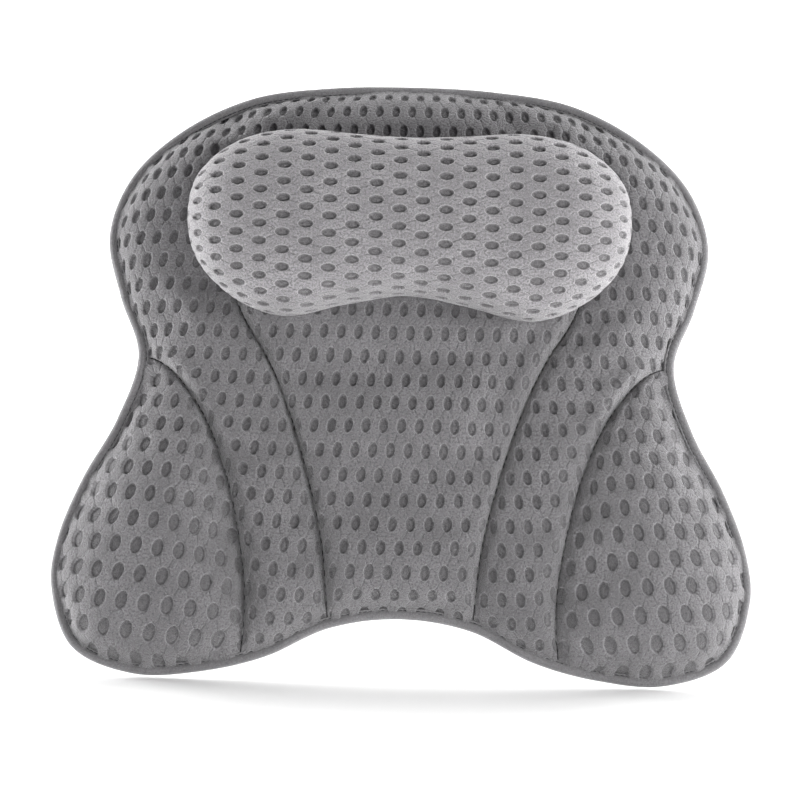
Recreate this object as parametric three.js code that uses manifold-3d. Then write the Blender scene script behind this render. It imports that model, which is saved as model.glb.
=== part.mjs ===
// A bath pillow: a padded butterfly shaped panel with a raised head cushion on its front and seven suction
// cups on its back. All lengths are millimetres.
//
// It is drawn in the plane of the panel, with x to the right, y up the panel and z off the bath wall. The
// rims of the cups press on the wall at z = 0, and the origin is the centre cup's axis there. The finished
// group is then leant back, as the pillow sits on the sloping end wall of a bath.

import * as THREE from "three";
import { mergeVertices } from "three/addons/utils/BufferGeometryUtils.js";
import Module from "manifold-3d";

const wasm = await Module();
wasm.setup();

// Overall sizes.
const RECLINE = THREE.MathUtils.degToRad(20); // slope of the bath's end wall, from the vertical
const PANEL_WIDTH = 420; // over the two wings
const PANEL_HEIGHT = 366; // from the lowest point of the wings to the top of the arch

// Layers of the panel, from the wall outwards.
const CLEARANCE = 0.3; // between two pieces that lie on each other
const WALL_GAP = 13.5; // from the wall to the rear cover
const REAR_CLOTH = 2;
const SPACER_THICKNESS = 6; // open knit round the studs of the cups
const FRONT_CLOTH = 3.5; // air mesh of the front covers and of the head cushion
const FLANGE_CLOTH = 2.5; // the same mesh pressed flat inside the binding
const PANEL_CROWN = 37; // front of the padded panel off the wall
const SEAM_DEPTH = 7; // how far a seam is drawn in below the crown
const SEAM_GAP = 0.6; // between the covers at a seam
const SEAM_ROLL = 17; // over this distance the front rises from a seam
const EDGE_ROLL = 28; // over this distance it rises from the flange
const SPACER_INSET = 16; // from the panel's edge to the spacer layer

// Binding tape round the edge.
const TAPE = 1.2; // thickness
const BINDING_WIDTH = 6.2; // seen from the front
const BINDING_ROUND = 1.5; // rounding of its outer corners
const FLANGE_MARGIN = 2; // flat cloth that shows inside the tape

// Head cushion.
const HEAD_WIDTH = 258;
const HEAD_HEIGHT = 113; // over its two lobes
const HEAD_THICKNESS = 55;
const HEAD_PLACE_SHARE = 0.246; // its centre above the origin, of the panel's height
const HEAD_BASE_CLOTH = 1.5;
const HEAD_SPINE_SHARE = 0.62; // length of its level ridge, of its width
const HEAD_BASE_SHARE = 0.74; // its sewn footprint, of its outline
const HEAD_EQUATOR_SHARE = 0.4; // height of its widest line, of its thickness

// Suction cups.
const CUP_RADIUS = 26;
const CUP_RIM = 3; // width of the flat ring that touches the wall
const CUP_LIP = 1.2; // thickness at the rim
const CUP_HOLLOW = 3.2; // depth of the hollow
const CUP_DOME = 8; // height of the dome
const CUP_SHOULDER = 9; // radius of the dome's top
const NECK_RADIUS = 5; // neck of the stud
const STUD_RADIUS = 7.6; // mushroom head of the stud
const STUD_HEIGHT = 3.6;
const TAB_WIDTH = 12; // pull tab that lifts the rim
const TAB_REACH = 8; // beyond the rim
const TAB_LIFT = 0.4; // off the wall

// Eyelets and washers that hold the studs in the rear cover.
const NECK_PLAY = 0.4; // round the stud's neck
const BARREL_WALL = 1.8;
const EYELET_PLATE = 1.4; // thickness of the eyelet's flange, and of the washer
const EYELET_RADIUS = 13;
const WASHER_RADIUS = 12;

// How finely curves are divided.
const LEG_STATIONS = 11; // along a side seam, between the rows close to its ends
const TOP_STATIONS = 10; // over half of the arch
const MIDDLE_ROWS = 1; // across a panel, between the rows close to its sides
const HEAD_SIDES = 28;
const CUP_SIDES = 18;
const EYELET_SIDES = 16;
const TAB_SIDES = 6; // on the round end of a pull tab
const FINE = 240; // points on a curve before it is divided evenly

const MERGE = 1e-4; // points this close are one

// The right half of the outline, from the top of the arch to the middle of the lower edge, as shares of
// half the width and of the height.
const OUTLINE_SHARES = [
  [0, 0.505], [0.24, 0.5], [0.465, 0.477], [0.667, 0.415], [0.806, 0.332], [0.857, 0.237], [0.814, 0.137],
  [0.769, 0.041], [0.826, -0.068], [0.918, -0.167], [0.985, -0.267], [1, -0.345], [0.925, -0.447],
  [0.755, -0.491], [0.562, -0.483], [0.381, -0.445], [0.2, -0.405], [0, -0.388],
];
// The waist, where the outer seam starts, and the feet of the two seams, as shares of the way from point
// to point of this half outline.
const WAIST_SHARE = 0.412;
const OUTER_FOOT_SHARE = 0.86;
const INNER_FOOT_SHARE = 0.94;

// The right outer seam between its ends, from its foot up, and the right half of the inner seam from its
// foot to the middle of the centre panel's top, which the head cushion hides.
const OUTER_SEAM_SHARES = [
  [0.443, -0.369], [0.469, -0.25], [0.516, -0.143], [0.59, -0.048], [0.689, 0.021],
];
const INNER_SEAM_SHARES = [
  [0.229, -0.27], [0.277, -0.153], [0.345, -0.032], [0.41, 0.048], [0.475, 0.109], [0.505, 0.17],
  [0.45, 0.225], [0.27, 0.245], [0, 0.25],
];
// The place on the inner seam that is level with the waist, as a share of the way along its points, and
// the height of the centre panel's upper corners, as a share of the panel's height.
const INNER_WAIST_SHARE = 0.467;
const CORNER_SHARE = 0.225;

// The head cushion's right half, from above its right end to its middle, and from below its right end to
// its middle, as shares of half its width and of its height.
const HEAD_UPPER_SHARES = [[0.95, 0.215], [0.76, 0.41], [0.53, 0.497], [0.26, 0.482], [0, 0.468]];
const HEAD_LOWER_SHARES = [[0.95, -0.215], [0.78, -0.41], [0.56, -0.5], [0.28, -0.43], [0, -0.375]];

// Rows of points close to a seam and close to the edge, as shares of the roll there.
const SEAM_ROW_SHARES = [0.08, 0.25, 0.6];
const EDGE_ROW_SHARES = [0.08, 0.25];
const ROOM_SHARE = 0.75; // of a panel's width that these rows may take up together

// Rings of points on the head cushion, as shares of the quarter turn below and above its widest line.
const HEAD_BELOW_SHARES = [0, 0.5];
const HEAD_ABOVE_SHARES = [0, 0.2, 0.4, 0.6, 0.8, 1];

// The cups, as shares of half the width and of the height.
const CUP_SHARES = {
  center: [0, 0],
  upper_left: [-0.48, 0.31],
  upper_right: [0.48, 0.31],
  middle_left: [-0.53, 0],
  middle_right: [0.53, 0],
  lower_left: [-0.7, -0.33],
  lower_right: [0.7, -0.33],
};
// Rings of a cup's hollow, as shares of its radius, and of its dome, as shares of the way to its top.
const CUP_HOLLOW_SHARES = [0, 0.45, 0.8];
const CUP_DOME_SHARES = [0.3, 0.65];

// Heights off the wall, and distances from the panel's edge, that follow from the sizes.
const REAR_FRONT = WALL_GAP + REAR_CLOTH;
const INNER_BACK = REAR_FRONT + CLEARANCE; // back of the spacer, of the washers and of the flange
const FLANGE_FRONT = INNER_BACK + FLANGE_CLOTH;
const WASHER_FRONT = INNER_BACK + EYELET_PLATE;
const STUD_BACK = WASHER_FRONT + CLEARANCE;
const SPACER_FRONT = INNER_BACK + SPACER_THICKNESS;
const PAD_BACK = SPACER_FRONT + CLEARANCE;
const HEAD_BACK = PANEL_CROWN + CLEARANCE;
const CLOTH_INSET = TAPE + CLEARANCE;
const FLANGE_WIDTH = BINDING_WIDTH + FLANGE_MARGIN;
const BARREL_BORE = NECK_RADIUS + NECK_PLAY;
const BARREL_RADIUS = BARREL_BORE + BARREL_WALL;

const SEAM_ROWS = SEAM_ROW_SHARES.map((share) => share * SEAM_ROLL);
const EDGE_DEPTHS = [
  BINDING_WIDTH + FLANGE_MARGIN / 2,
  ...EDGE_ROW_SHARES.map((share) => FLANGE_WIDTH + share * EDGE_ROLL),
];

const last = (list) => list[list.length - 1];
const mix = THREE.MathUtils.lerp;
const mirror = (p) => new THREE.Vector2(-p.x, p.y);
const mirrored = (line) => line.map(mirror);
const reversed = (line) => [...line].reverse();
const onPanel = ([x, y]) => new THREE.Vector2((x * PANEL_WIDTH) / 2, y * PANEL_HEIGHT);

// A smooth line through points of the plane.
function curveThrough(points, closed) {
  const spatial = points.map((p) => new THREE.Vector3(p.x, p.y, 0));
  return new THREE.CatmullRomCurve3(spatial, closed, "centripetal");
}

// The stretch of a curve between two stations, counted along the points that it goes through.
function stretch(curve, from, to) {
  const spans = curve.points.length - (curve.closed ? 0 : 1);
  return evenShares(FINE).map((share) => {
    const point = curve.getPoint(mix(from, to, share) / spans);
    return new THREE.Vector2(point.x, point.y);
  });
}

function evenShares(steps) {
  return Array.from({ length: steps + 1 }, (_, i) => i / steps);
}

function lineLength(line) {
  return line.reduce((sum, p, i) => (i ? sum + p.distanceTo(line[i - 1]) : 0), 0);
}

// Points on a line at rising shares of its length.
function spaced(line, shares) {
  const total = lineLength(line);
  let [at, passed] = [1, 0];
  return shares.map((share) => {
    let step = line[at].distanceTo(line[at - 1]);
    while (at < line.length - 1 && passed + step < share * total) {
      passed += step;
      at++;
      step = line[at].distanceTo(line[at - 1]);
    }
    return line[at - 1].clone().lerp(line[at], (share * total - passed) / (step || 1));
  });
}

// Points on a line: its ends, points at given distances from them, and even ones between.
function stations(line, nearStart, nearEnd, between) {
  const total = lineLength(line) || 1;
  const head = [0, ...nearStart].map((distance) => distance / total);
  const tail = reversed([0, ...nearEnd].map((distance) => 1 - distance / total));
  const middle = evenShares(between + 1).slice(1, -1).map((share) => mix(last(head), tail[0], share));
  return spaced(line, [...head, ...middle, ...tail]);
}

// A line moved sideways by a distance, to its left where that is positive.
function offsetLine(line, distance, closed) {
  const n = line.length;
  const leftOf = (a, b) => new THREE.Vector2(a.y - b.y, b.x - a.x).normalize();
  return line.map((p, i) => {
    const before = closed || i > 0 ? leftOf(line[(i + n - 1) % n], p) : leftOf(p, line[i + 1]);
    const after = closed || i < n - 1 ? leftOf(p, line[(i + 1) % n]) : before;
    const side = before.clone().add(after).divideScalar(1 + before.dot(after));
    return p.clone().addScaledVector(side, distance);
  });
}

// How far a point lies from a line.
function distanceTo(line, point) {
  let best = Infinity;
  for (let i = 1; i < line.length; i++) {
    const edge = line[i].clone().sub(line[i - 1]);
    const along = point.clone().sub(line[i - 1]).dot(edge) / (edge.lengthSq() || 1);
    const near = line[i - 1].clone().addScaledVector(edge, THREE.MathUtils.clamp(along, 0, 1));
    best = Math.min(best, near.distanceTo(point));
  }
  return best;
}

// How far along a line, in its first half, it comes to lie at each depth from a rim.
function lengthsToDepths(line, rim, depths) {
  return depths.map((depth) => {
    let [low, high] = [0, 0.5];
    for (let width = lineLength(line); width > MERGE; width /= 2) {
      const middle = (low + high) / 2;
      const [point] = spaced(line, [middle]);
      if (distanceTo(rim, point) < depth) low = middle;
      else high = middle;
    }
    return low * lineLength(line);
  });
}

// The outline and its parts on the right half, each from below upwards or from the side to the middle.
const BOTTOM_STATION = OUTLINE_SHARES.length - 1;
const WAIST_STATION = WAIST_SHARE * BOTTOM_STATION;
const OUTER_FOOT_STATION = OUTER_FOOT_SHARE * BOTTOM_STATION;
const INNER_FOOT_STATION = INNER_FOOT_SHARE * BOTTOM_STATION;
const rightPoints = OUTLINE_SHARES.map(onPanel);
const leftPoints = reversed(mirrored(rightPoints.slice(1, -1)));
const outlineCurve = curveThrough([...rightPoints, ...leftPoints], true);
const fineOutline = stretch(outlineCurve, 0, outlineCurve.points.length);

function placeOnEdge(station) {
  const [point, next] = stretch(outlineCurve, station, station + 1);
  return offsetLine([point, next], -CLOTH_INSET, false)[0];
}

const outerSeamCurve = curveThrough(
  [placeOnEdge(OUTER_FOOT_STATION), ...OUTER_SEAM_SHARES.map(onPanel), placeOnEdge(WAIST_STATION)],
  false,
);
const rightInnerPoints = [placeOnEdge(INNER_FOOT_STATION), ...INNER_SEAM_SHARES.map(onPanel)];
const innerSeamCurve = curveThrough(
  [...rightInnerPoints, ...reversed(mirrored(rightInnerPoints.slice(0, -1)))],
  false,
);
const outerSeamLine = stretch(outerSeamCurve, 0, outerSeamCurve.points.length - 1);
const INNER_TOP_STATION = rightInnerPoints.length - 1;
const INNER_WAIST_STATION = INNER_WAIST_SHARE * INNER_TOP_STATION;
const innerSeamLeg = stretch(innerSeamCurve, 0, INNER_WAIST_STATION);
const innerSeamTop = stretch(innerSeamCurve, INNER_WAIST_STATION, INNER_TOP_STATION);

const nearOuterFoot = lengthsToDepths(outerSeamLine, fineOutline, EDGE_DEPTHS);
const nearWaist = lengthsToDepths(reversed(outerSeamLine), fineOutline, EDGE_DEPTHS);
const nearInnerFoot = lengthsToDepths(innerSeamLeg, fineOutline, EDGE_DEPTHS);

// The outline's points, clockwise from the top, so that every piece along the edge shares them.
const topEdge = stations(stretch(outlineCurve, 0, WAIST_STATION), [], [], TOP_STATIONS - 1);
const wingEdge = stations(
  stretch(outlineCurve, WAIST_STATION, OUTER_FOOT_STATION), nearWaist, nearOuterFoot, LEG_STATIONS,
);
const footEdge = stations(
  stretch(outlineCurve, OUTER_FOOT_STATION, INNER_FOOT_STATION), SEAM_ROWS, SEAM_ROWS, MIDDLE_ROWS,
);
const bottomEdge = stations(
  stretch(outlineCurve, INNER_FOOT_STATION, BOTTOM_STATION), SEAM_ROWS, [], 0,
);
const rightOutline = [...topEdge, ...wingEdge.slice(1), ...footEdge.slice(1), ...bottomEdge.slice(1)];
const outline = [...rightOutline, ...reversed(mirrored(rightOutline.slice(1, -1)))];
const rim = [...outline, outline[0]];
const inset = (distance) => offsetLine(outline, -distance, true);

// The same stretches on the edge of the cloth, inside the binding.
const clothEdge = inset(CLOTH_INSET);
const waistAt = topEdge.length - 1;
const outerFootAt = waistAt + wingEdge.length - 1;
const innerFootAt = outerFootAt + footEdge.length - 1;
const clothTop = reversed(clothEdge.slice(0, waistAt + 1));
const clothWing = reversed(clothEdge.slice(waistAt, outerFootAt + 1));
const clothFoot = reversed(clothEdge.slice(outerFootAt, innerFootAt + 1));
const clothBottom = clothEdge.slice(innerFootAt, rightOutline.length);

// Points along the seams. The first and last ones lie on the edge of the cloth.
const outerSeam = stations(outerSeamLine, nearOuterFoot, nearWaist, LEG_STATIONS);
outerSeam[0] = clothWing[0];
outerSeam[outerSeam.length - 1] = last(clothWing);
const innerLeg = stations(innerSeamLeg, nearInnerFoot, [], LEG_STATIONS + nearWaist.length);
innerLeg[0] = clothBottom[0];
const innerTop = spaced(innerSeamTop, evenShares(TOP_STATIONS));
const innerHalf = [...innerLeg, ...innerTop.slice(1)];
const innerSeam = [...innerHalf, ...reversed(mirrored(innerHalf.slice(0, -1)))];
const seams = [outerSeam, mirrored(outerSeam), innerSeam];

// Share of the full rise at a distance from an edge: a quarter of an ellipse, then level.
function rise(distance, roll) {
  const left = 1 - THREE.MathUtils.clamp(distance / roll, 0, 1);
  return Math.sqrt(1 - left * left);
}

// Height of the panel's front off the wall.
function panelFront(point) {
  const fromEdge = rise(distanceTo(rim, point) - FLANGE_WIDTH, EDGE_ROLL);
  const fromSeam = rise(Math.min(...seams.map((seam) => distanceTo(seam, point))), SEAM_ROLL);
  return FLANGE_FRONT + fromEdge * (PANEL_CROWN - FLANGE_FRONT - SEAM_DEPTH * (1 - fromSeam));
}

// Height of the inner face of the front covers, which are pressed thinner at the flange.
function panelInside(point) {
  const front = panelFront(point);
  const extra = Math.min(front - FLANGE_FRONT, FRONT_CLOTH - FLANGE_CLOTH);
  return front - FLANGE_CLOTH - extra;
}

// A closed mesh from triangles, turned outwards, without the triangles that have shrunk to a line.
function closedGeometry(triangles) {
  const same = (a, b) => a.distanceTo(b) < MERGE;
  const kept = triangles.filter(([a, b, c]) => !same(a, b) && !same(b, c) && !same(c, a));
  const volume = kept.reduce((sum, [a, b, c]) => sum + a.dot(b.clone().cross(c)), 0);
  const outward = volume < 0 ? kept.map(reversed) : kept;
  const positions = outward.flatMap((triangle) => triangle.flatMap((p) => p.toArray()));
  const geometry = new THREE.BufferGeometry();
  geometry.setAttribute("position", new THREE.Float32BufferAttribute(positions, 3));
  return mergeVertices(geometry, MERGE);
}

// Two triangles for each cell of a grid of points. Where a test is given, it picks a cell's diagonal.
function gridTriangles(grid, crossed = () => false) {
  const triangles = [];
  for (let i = 1; i < grid.length; i++) {
    for (let j = 1; j < grid[i].length; j++) {
      const [a, b, c, d] = [grid[i - 1][j - 1], grid[i][j - 1], grid[i][j], grid[i - 1][j]];
      triangles.push(...(crossed(i, j) ? [[a, b, d], [b, c, d]] : [[a, b, c], [a, c, d]]));
    }
  }
  return triangles;
}

// The body between two heights over a grid of points of the panel. Each cell is split along the diagonal
// that is the more level one on the panel's front.
function layer(plan, lower, upper) {
  const fronts = plan.map((row) => row.map(panelFront));
  const crossed = (i, j) => {
    const one = Math.abs(fronts[i - 1][j - 1] - fronts[i][j]);
    return Math.abs(fronts[i][j - 1] - fronts[i - 1][j]) < one;
  };
  const at = (height) => plan.map((row) => row.map((p) => new THREE.Vector3(p.x, p.y, height(p))));
  const [low, high] = [at(lower), at(upper)];
  const column = (grid, j) => grid.map((row) => row[j]);
  const end = plan[0].length - 1;
  return closedGeometry([
    ...gridTriangles(high, crossed),
    ...gridTriangles(low, crossed).map(reversed),
    ...gridTriangles([low[0], high[0]]),
    ...gridTriangles([last(high), last(low)]),
    ...gridTriangles([column(high, 0), column(low, 0)]),
    ...gridTriangles([column(low, end), column(high, end)]),
  ]);
}

// Points across a panel. The first row from the far side keeps its distance where there is room, and the
// other rows close to either side are drawn together where there is little.
function across(near, far, fromNear, fromFar, between) {
  const width = near.distanceTo(far);
  const first = Math.min(fromFar[0], ROOM_SHARE * width);
  const wanted = last(fromNear) + last(fromFar) - fromFar[0];
  const squeeze = Math.min(1, (ROOM_SHARE * (width - first)) / wanted);
  const nearRows = fromNear.map((distance) => distance * squeeze);
  const farRows = fromFar.map((distance) => first + (distance - fromFar[0]) * squeeze);
  return stations([near, far], nearRows, farRows, between);
}

// Points across a panel from a seam to the edge of the cloth.
function acrossToEdge(seamPoint, edgePoint, between) {
  const fromEdge = lengthsToDepths([edgePoint, seamPoint], rim, EDGE_DEPTHS);
  return across(seamPoint, edgePoint, SEAM_ROWS, fromEdge, between);
}

// Rows of points that start from a foot on the edge of the cloth. Those close to it follow its bend, and
// their ends stay on the seams.
function onFoot(foot, rows) {
  const rest = rows.slice(EDGE_DEPTHS.length + 1);
  const columns = foot.map((p, j) => {
    const line = [p, rest[0][j]];
    return spaced(line, [0, ...lengthsToDepths(line, rim, EDGE_DEPTHS).map((d) => d / lineLength(line))]);
  });
  const end = foot.length - 1;
  const close = rows.slice(0, EDGE_DEPTHS.length + 1).map((row, i) => {
    return row.map((p, j) => (i === 0 || (j > 0 && j < end) ? columns[j][i] : p));
  });
  return [...close, ...rest];
}

// The end of a cover's side, on the edge of the cloth and half the gap clear of the seam.
function partedEnd(end, nextOnEdge, nextOnSeam) {
  const alongEdge = nextOnEdge.clone().sub(end).normalize();
  const alongSeam = nextOnSeam.clone().sub(end).normalize();
  return end.clone().addScaledVector(alongEdge, SEAM_GAP / 2 / Math.abs(alongEdge.cross(alongSeam)));
}

// One side of a seam, half the gap to its left where that is positive, with its ends on the edge.
function seamSide(seam, distance, start, end) {
  return [start, ...offsetLine(seam, distance, false).slice(1, -1), end];
}

const outerFoot = outerSeam[0];
const waist = last(outerSeam);
const beforeWaist = outerSeam[outerSeam.length - 2];
const innerFoot = innerSeam[0];

// The wing's points, from its foot to the waist, and across from the seam to the edge.
const wingFoot = partedEnd(outerFoot, clothWing[1], outerSeam[1]);
const wingTip = partedEnd(waist, clothWing[clothWing.length - 2], beforeWaist);
const wingSeam = seamSide(outerSeam, -SEAM_GAP / 2, wingFoot, wingTip);
const wingSide = [wingFoot, ...clothWing.slice(1, -1), wingTip];
const wingPlan = wingSeam.map((p, i) => acrossToEdge(p, wingSide[i], 0));

// The arch's points, from the right foot over the top to the left foot, and across from the inner seam.
const archFoot = [
  partedEnd(innerFoot, clothFoot[1], innerSeam[1]),
  ...clothFoot.slice(1, -1),
  partedEnd(outerFoot, clothFoot[clothFoot.length - 2], outerSeam[1]),
];
const archWaist = partedEnd(waist, clothTop[1], beforeWaist);
const archOuter = seamSide(outerSeam, SEAM_GAP / 2, last(archFoot), archWaist);
const archInner = seamSide(innerSeam, -SEAM_GAP / 2, archFoot[0], mirror(archFoot[0]));
const archLeg = archOuter.map((p, i) => across(archInner[i], p, SEAM_ROWS, SEAM_ROWS, MIDDLE_ROWS));
const archTop = [archWaist, ...clothTop.slice(1)].map((p, i) => {
  return acrossToEdge(archInner[archOuter.length - 1 + i], p, MIDDLE_ROWS);
});
const archHalf = [...onFoot(archFoot, archLeg.slice(0, -1)), ...archTop];
const archPlan = [...archHalf, ...reversed(archHalf.slice(0, -1)).map(mirrored)];

// The centre panel's points, from its foot up, and across from the right to the left.
const centreCorner = partedEnd(innerFoot, clothBottom[1], innerSeam[1]);
const centreFoot = [centreCorner, ...clothBottom.slice(1)];
const centreSide = seamSide(innerSeam, SEAM_GAP / 2, centreCorner, mirror(centreCorner));
const cornerAt = innerHalf.findIndex((p) => p.y > CORNER_SHARE * PANEL_HEIGHT);
const centreTop = stations(
  centreSide.slice(cornerAt, centreSide.length - cornerAt), SEAM_ROWS, SEAM_ROWS, MIDDLE_ROWS,
);
const centreRows = centreSide
  .slice(0, cornerAt)
  .map((p) => across(p, mirror(p), SEAM_ROWS, SEAM_ROWS, MIDDLE_ROWS));
const wholeFoot = [...centreFoot, ...reversed(mirrored(centreFoot.slice(0, -1)))];
const centrePlan = [...onFoot(wholeFoot, centreRows), centreTop];

// A mesh with its points merged and nothing kept but their places.
function bareMesh(geometry) {
  return mergeVertices(geometry.deleteAttribute("normal").deleteAttribute("uv"), MERGE);
}

// A solid from a closed mesh.
function solidOf(merged) {
  return new wasm.Manifold(
    new wasm.Mesh({
      numProp: 3,
      vertProperties: merged.getAttribute("position").array,
      triVerts: new Uint32Array(merged.index.array),
    }),
  );
}

function geometryOf(solid) {
  const mesh = solid.getMesh();
  const geometry = new THREE.BufferGeometry();
  geometry.setAttribute("position", new THREE.Float32BufferAttribute(mesh.vertProperties, 3));
  geometry.setIndex([...mesh.triVerts]);
  return geometry;
}

// A flat shape between two heights, with round holes.
function plate(points, from, to, holes = []) {
  const anticlockwise = THREE.ShapeUtils.isClockWise(points) ? reversed(points) : points;
  const shape = new THREE.Shape(anticlockwise);
  for (const { place, radius } of holes) {
    const round = evenShares(EYELET_SIDES).slice(1).map((share) => {
      const turn = 2 * Math.PI * share;
      return new THREE.Vector2(-Math.cos(turn), Math.sin(turn)).multiplyScalar(radius).add(place);
    });
    shape.holes.push(new THREE.Path(round));
  }
  const settings = { depth: to - from, bevelEnabled: false };
  return bareMesh(new THREE.ExtrudeGeometry(shape, settings).translate(0, 0, from));
}

// A front cover over a grid of points.
const cover = (plan) => layer(plan, panelInside, panelFront);

// The foam pad under a cover. It leaves out some rows of the cover's points along each side.
function pad(plan, [start, end], [near, far]) {
  const rows = plan.slice(start, plan.length - end).map((row) => row.slice(near, row.length - far));
  return layer(rows, () => PAD_BACK, (p) => panelInside(p) - CLEARANCE);
}

// The binding tape: a band folded round the edge of the cloth, drawn as a closed section all the way round.
function binding() {
  const back = WALL_GAP - CLEARANCE;
  const front = FLANGE_FRONT + CLEARANCE;
  const section = [
    [BINDING_WIDTH, back - TAPE],
    [BINDING_ROUND, back - TAPE],
    [0, back - TAPE + BINDING_ROUND],
    [0, front + TAPE - BINDING_ROUND],
    [BINDING_ROUND, front + TAPE],
    [BINDING_WIDTH, front + TAPE],
    [BINDING_WIDTH, front],
    [TAPE, front],
    [TAPE, back],
    [BINDING_WIDTH, back],
  ];
  const rings = [...section, section[0]].map(([distance, height]) => {
    const ring = inset(distance).map((p) => new THREE.Vector3(p.x, p.y, height));
    return [...ring, ring[0]];
  });
  return closedGeometry(gridTriangles(rings));
}

// The head cushion's outline, anticlockwise from its right end, with as many points above as below.
const headCentre = HEAD_PLACE_SHARE * PANEL_HEIGHT;
const headPoint = ([x, y]) => new THREE.Vector2((x * HEAD_WIDTH) / 2, headCentre + y * HEAD_HEIGHT);
const headEnd = headPoint([1, 0]);
const headUpper = HEAD_UPPER_SHARES.map(headPoint);
const headLower = HEAD_LOWER_SHARES.map(headPoint);
const overHead = [headEnd, ...headUpper, ...reversed(mirrored(headUpper.slice(0, -1)))];
const underHead = [mirror(headEnd), ...mirrored(headLower), ...reversed(headLower.slice(0, -1))];
const headCurve = curveThrough([...overHead, ...underHead], true);
const halfRound = evenShares(HEAD_SIDES / 2);
const headOutline = [
  ...spaced(stretch(headCurve, 0, overHead.length), halfRound).slice(0, -1),
  ...spaced(stretch(headCurve, overHead.length, headCurve.points.length), halfRound).slice(0, -1),
];

// A ring round the head cushion, drawn in by a distance, at a reach from its ridge and at a height.
function headRing(distance, reach, height) {
  const ring = offsetLine(headOutline, distance, true).map((p, i) => {
    const along = Math.cos((2 * Math.PI * i) / HEAD_SIDES);
    const spine = new THREE.Vector2((along * HEAD_SPINE_SHARE * HEAD_WIDTH) / 2, headCentre);
    const placed = spine.lerp(p, reach);
    return new THREE.Vector3(placed.x, placed.y, height);
  });
  return [...ring, ring[0]];
}

// The rings of the head cushion's surface, drawn in by a distance, from its foot to its ridge.
function headRings(distance, foot) {
  const top = HEAD_BACK + HEAD_THICKNESS - distance;
  const equator = HEAD_BACK + HEAD_EQUATOR_SHARE * HEAD_THICKNESS;
  const below = HEAD_BELOW_SHARES.map((share) => {
    const turn = (share * Math.PI) / 2;
    const reach = mix(HEAD_BASE_SHARE, 1, Math.sin(turn));
    return headRing(distance, reach, mix(foot, equator, 1 - Math.cos(turn)));
  });
  const above = HEAD_ABOVE_SHARES.map((share) => {
    const turn = (share * Math.PI) / 2;
    return headRing(distance, Math.cos(turn), mix(equator, top, Math.sin(turn)));
  });
  return [...below, ...above];
}

function headCover() {
  const outer = headRings(0, HEAD_BACK);
  const inner = headRings(FRONT_CLOTH, HEAD_BACK);
  const surfaces = [outer, reversed(inner), [inner[0], outer[0]]];
  return closedGeometry(surfaces.flatMap((rings) => gridTriangles(rings)));
}

function headBase() {
  const edge = headRing(FRONT_CLOTH + CLEARANCE, HEAD_BASE_SHARE, HEAD_BACK).slice(0, -1);
  const points = edge.map((p) => new THREE.Vector2(p.x, p.y));
  return plate(points, HEAD_BACK, HEAD_BACK + HEAD_BASE_CLOTH);
}

// The filling stands on the base. Its lowest rings are steeper than the cover's, so it keeps twice the
// clearance.
function headFilling() {
  const foot = HEAD_BACK + HEAD_BASE_CLOTH + CLEARANCE;
  const distance = FRONT_CLOTH + 2 * CLEARANCE;
  return closedGeometry(gridTriangles([headRing(distance, 0, foot), ...headRings(distance, foot)]));
}

// A body of revolution about the panel's z, from points of radius and height.
function turned(points, sides) {
  const profile = points.map(([radius, height]) => new THREE.Vector2(radius, height));
  return bareMesh(new THREE.LatheGeometry(profile, sides).rotateX(Math.PI / 2));
}

// A suction cup with its stud, and a pull tab that points down the panel.
function cup() {
  const foot = CUP_RADIUS - CUP_RIM;
  const hollow = CUP_HOLLOW_SHARES.map((share) => [share * foot, CUP_HOLLOW * Math.sqrt(1 - share ** 2)]);
  const dome = CUP_DOME_SHARES.map((share) => [
    mix(CUP_RADIUS, CUP_SHOULDER, share),
    mix(CUP_LIP, CUP_DOME, Math.sin((share * Math.PI) / 2)),
  ]);
  const body = turned(
    [
      ...hollow,
      [foot, 0],
      [CUP_RADIUS, 0],
      [CUP_RADIUS, CUP_LIP],
      ...dome,
      [CUP_SHOULDER, CUP_DOME],
      [NECK_RADIUS, CUP_DOME],
      [NECK_RADIUS, STUD_BACK],
      [STUD_RADIUS, STUD_BACK],
      [STUD_RADIUS, STUD_BACK + STUD_HEIGHT / 2],
      [STUD_RADIUS / 2, STUD_BACK + STUD_HEIGHT],
      [0, STUD_BACK + STUD_HEIGHT],
    ],
    CUP_SIDES,
  );
  const half = TAB_WIDTH / 2;
  const tab = new THREE.Shape()
    .moveTo(half, -foot)
    .lineTo(-half, -foot)
    .lineTo(-half, half - CUP_RADIUS - TAB_REACH)
    .absarc(0, half - CUP_RADIUS - TAB_REACH, half, Math.PI, 2 * Math.PI, false);
  const settings = { depth: CUP_LIP, bevelEnabled: false, curveSegments: TAB_SIDES };
  const tongue = new THREE.ExtrudeGeometry(tab, settings);
  return geometryOf(solidOf(body).add(solidOf(bareMesh(tongue.translate(0, 0, TAB_LIFT)))));
}

// An eyelet: a flange behind the rear cover and a barrel through it, up to the washer's front.
function eyelet() {
  const front = WALL_GAP - CLEARANCE;
  const back = front - EYELET_PLATE;
  const section = [
    [BARREL_BORE, back],
    [EYELET_RADIUS, back],
    [EYELET_RADIUS, front],
    [BARREL_RADIUS, front],
    [BARREL_RADIUS, WASHER_FRONT],
    [BARREL_BORE, WASHER_FRONT],
  ];
  return turned([...section, section[0]], EYELET_SIDES);
}

function washer() {
  const bore = BARREL_RADIUS + CLEARANCE;
  const section = [
    [bore, INNER_BACK],
    [WASHER_RADIUS, INNER_BACK],
    [WASHER_RADIUS, WASHER_FRONT],
    [bore, WASHER_FRONT],
  ];
  return turned([...section, section[0]], EYELET_SIDES);
}

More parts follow.
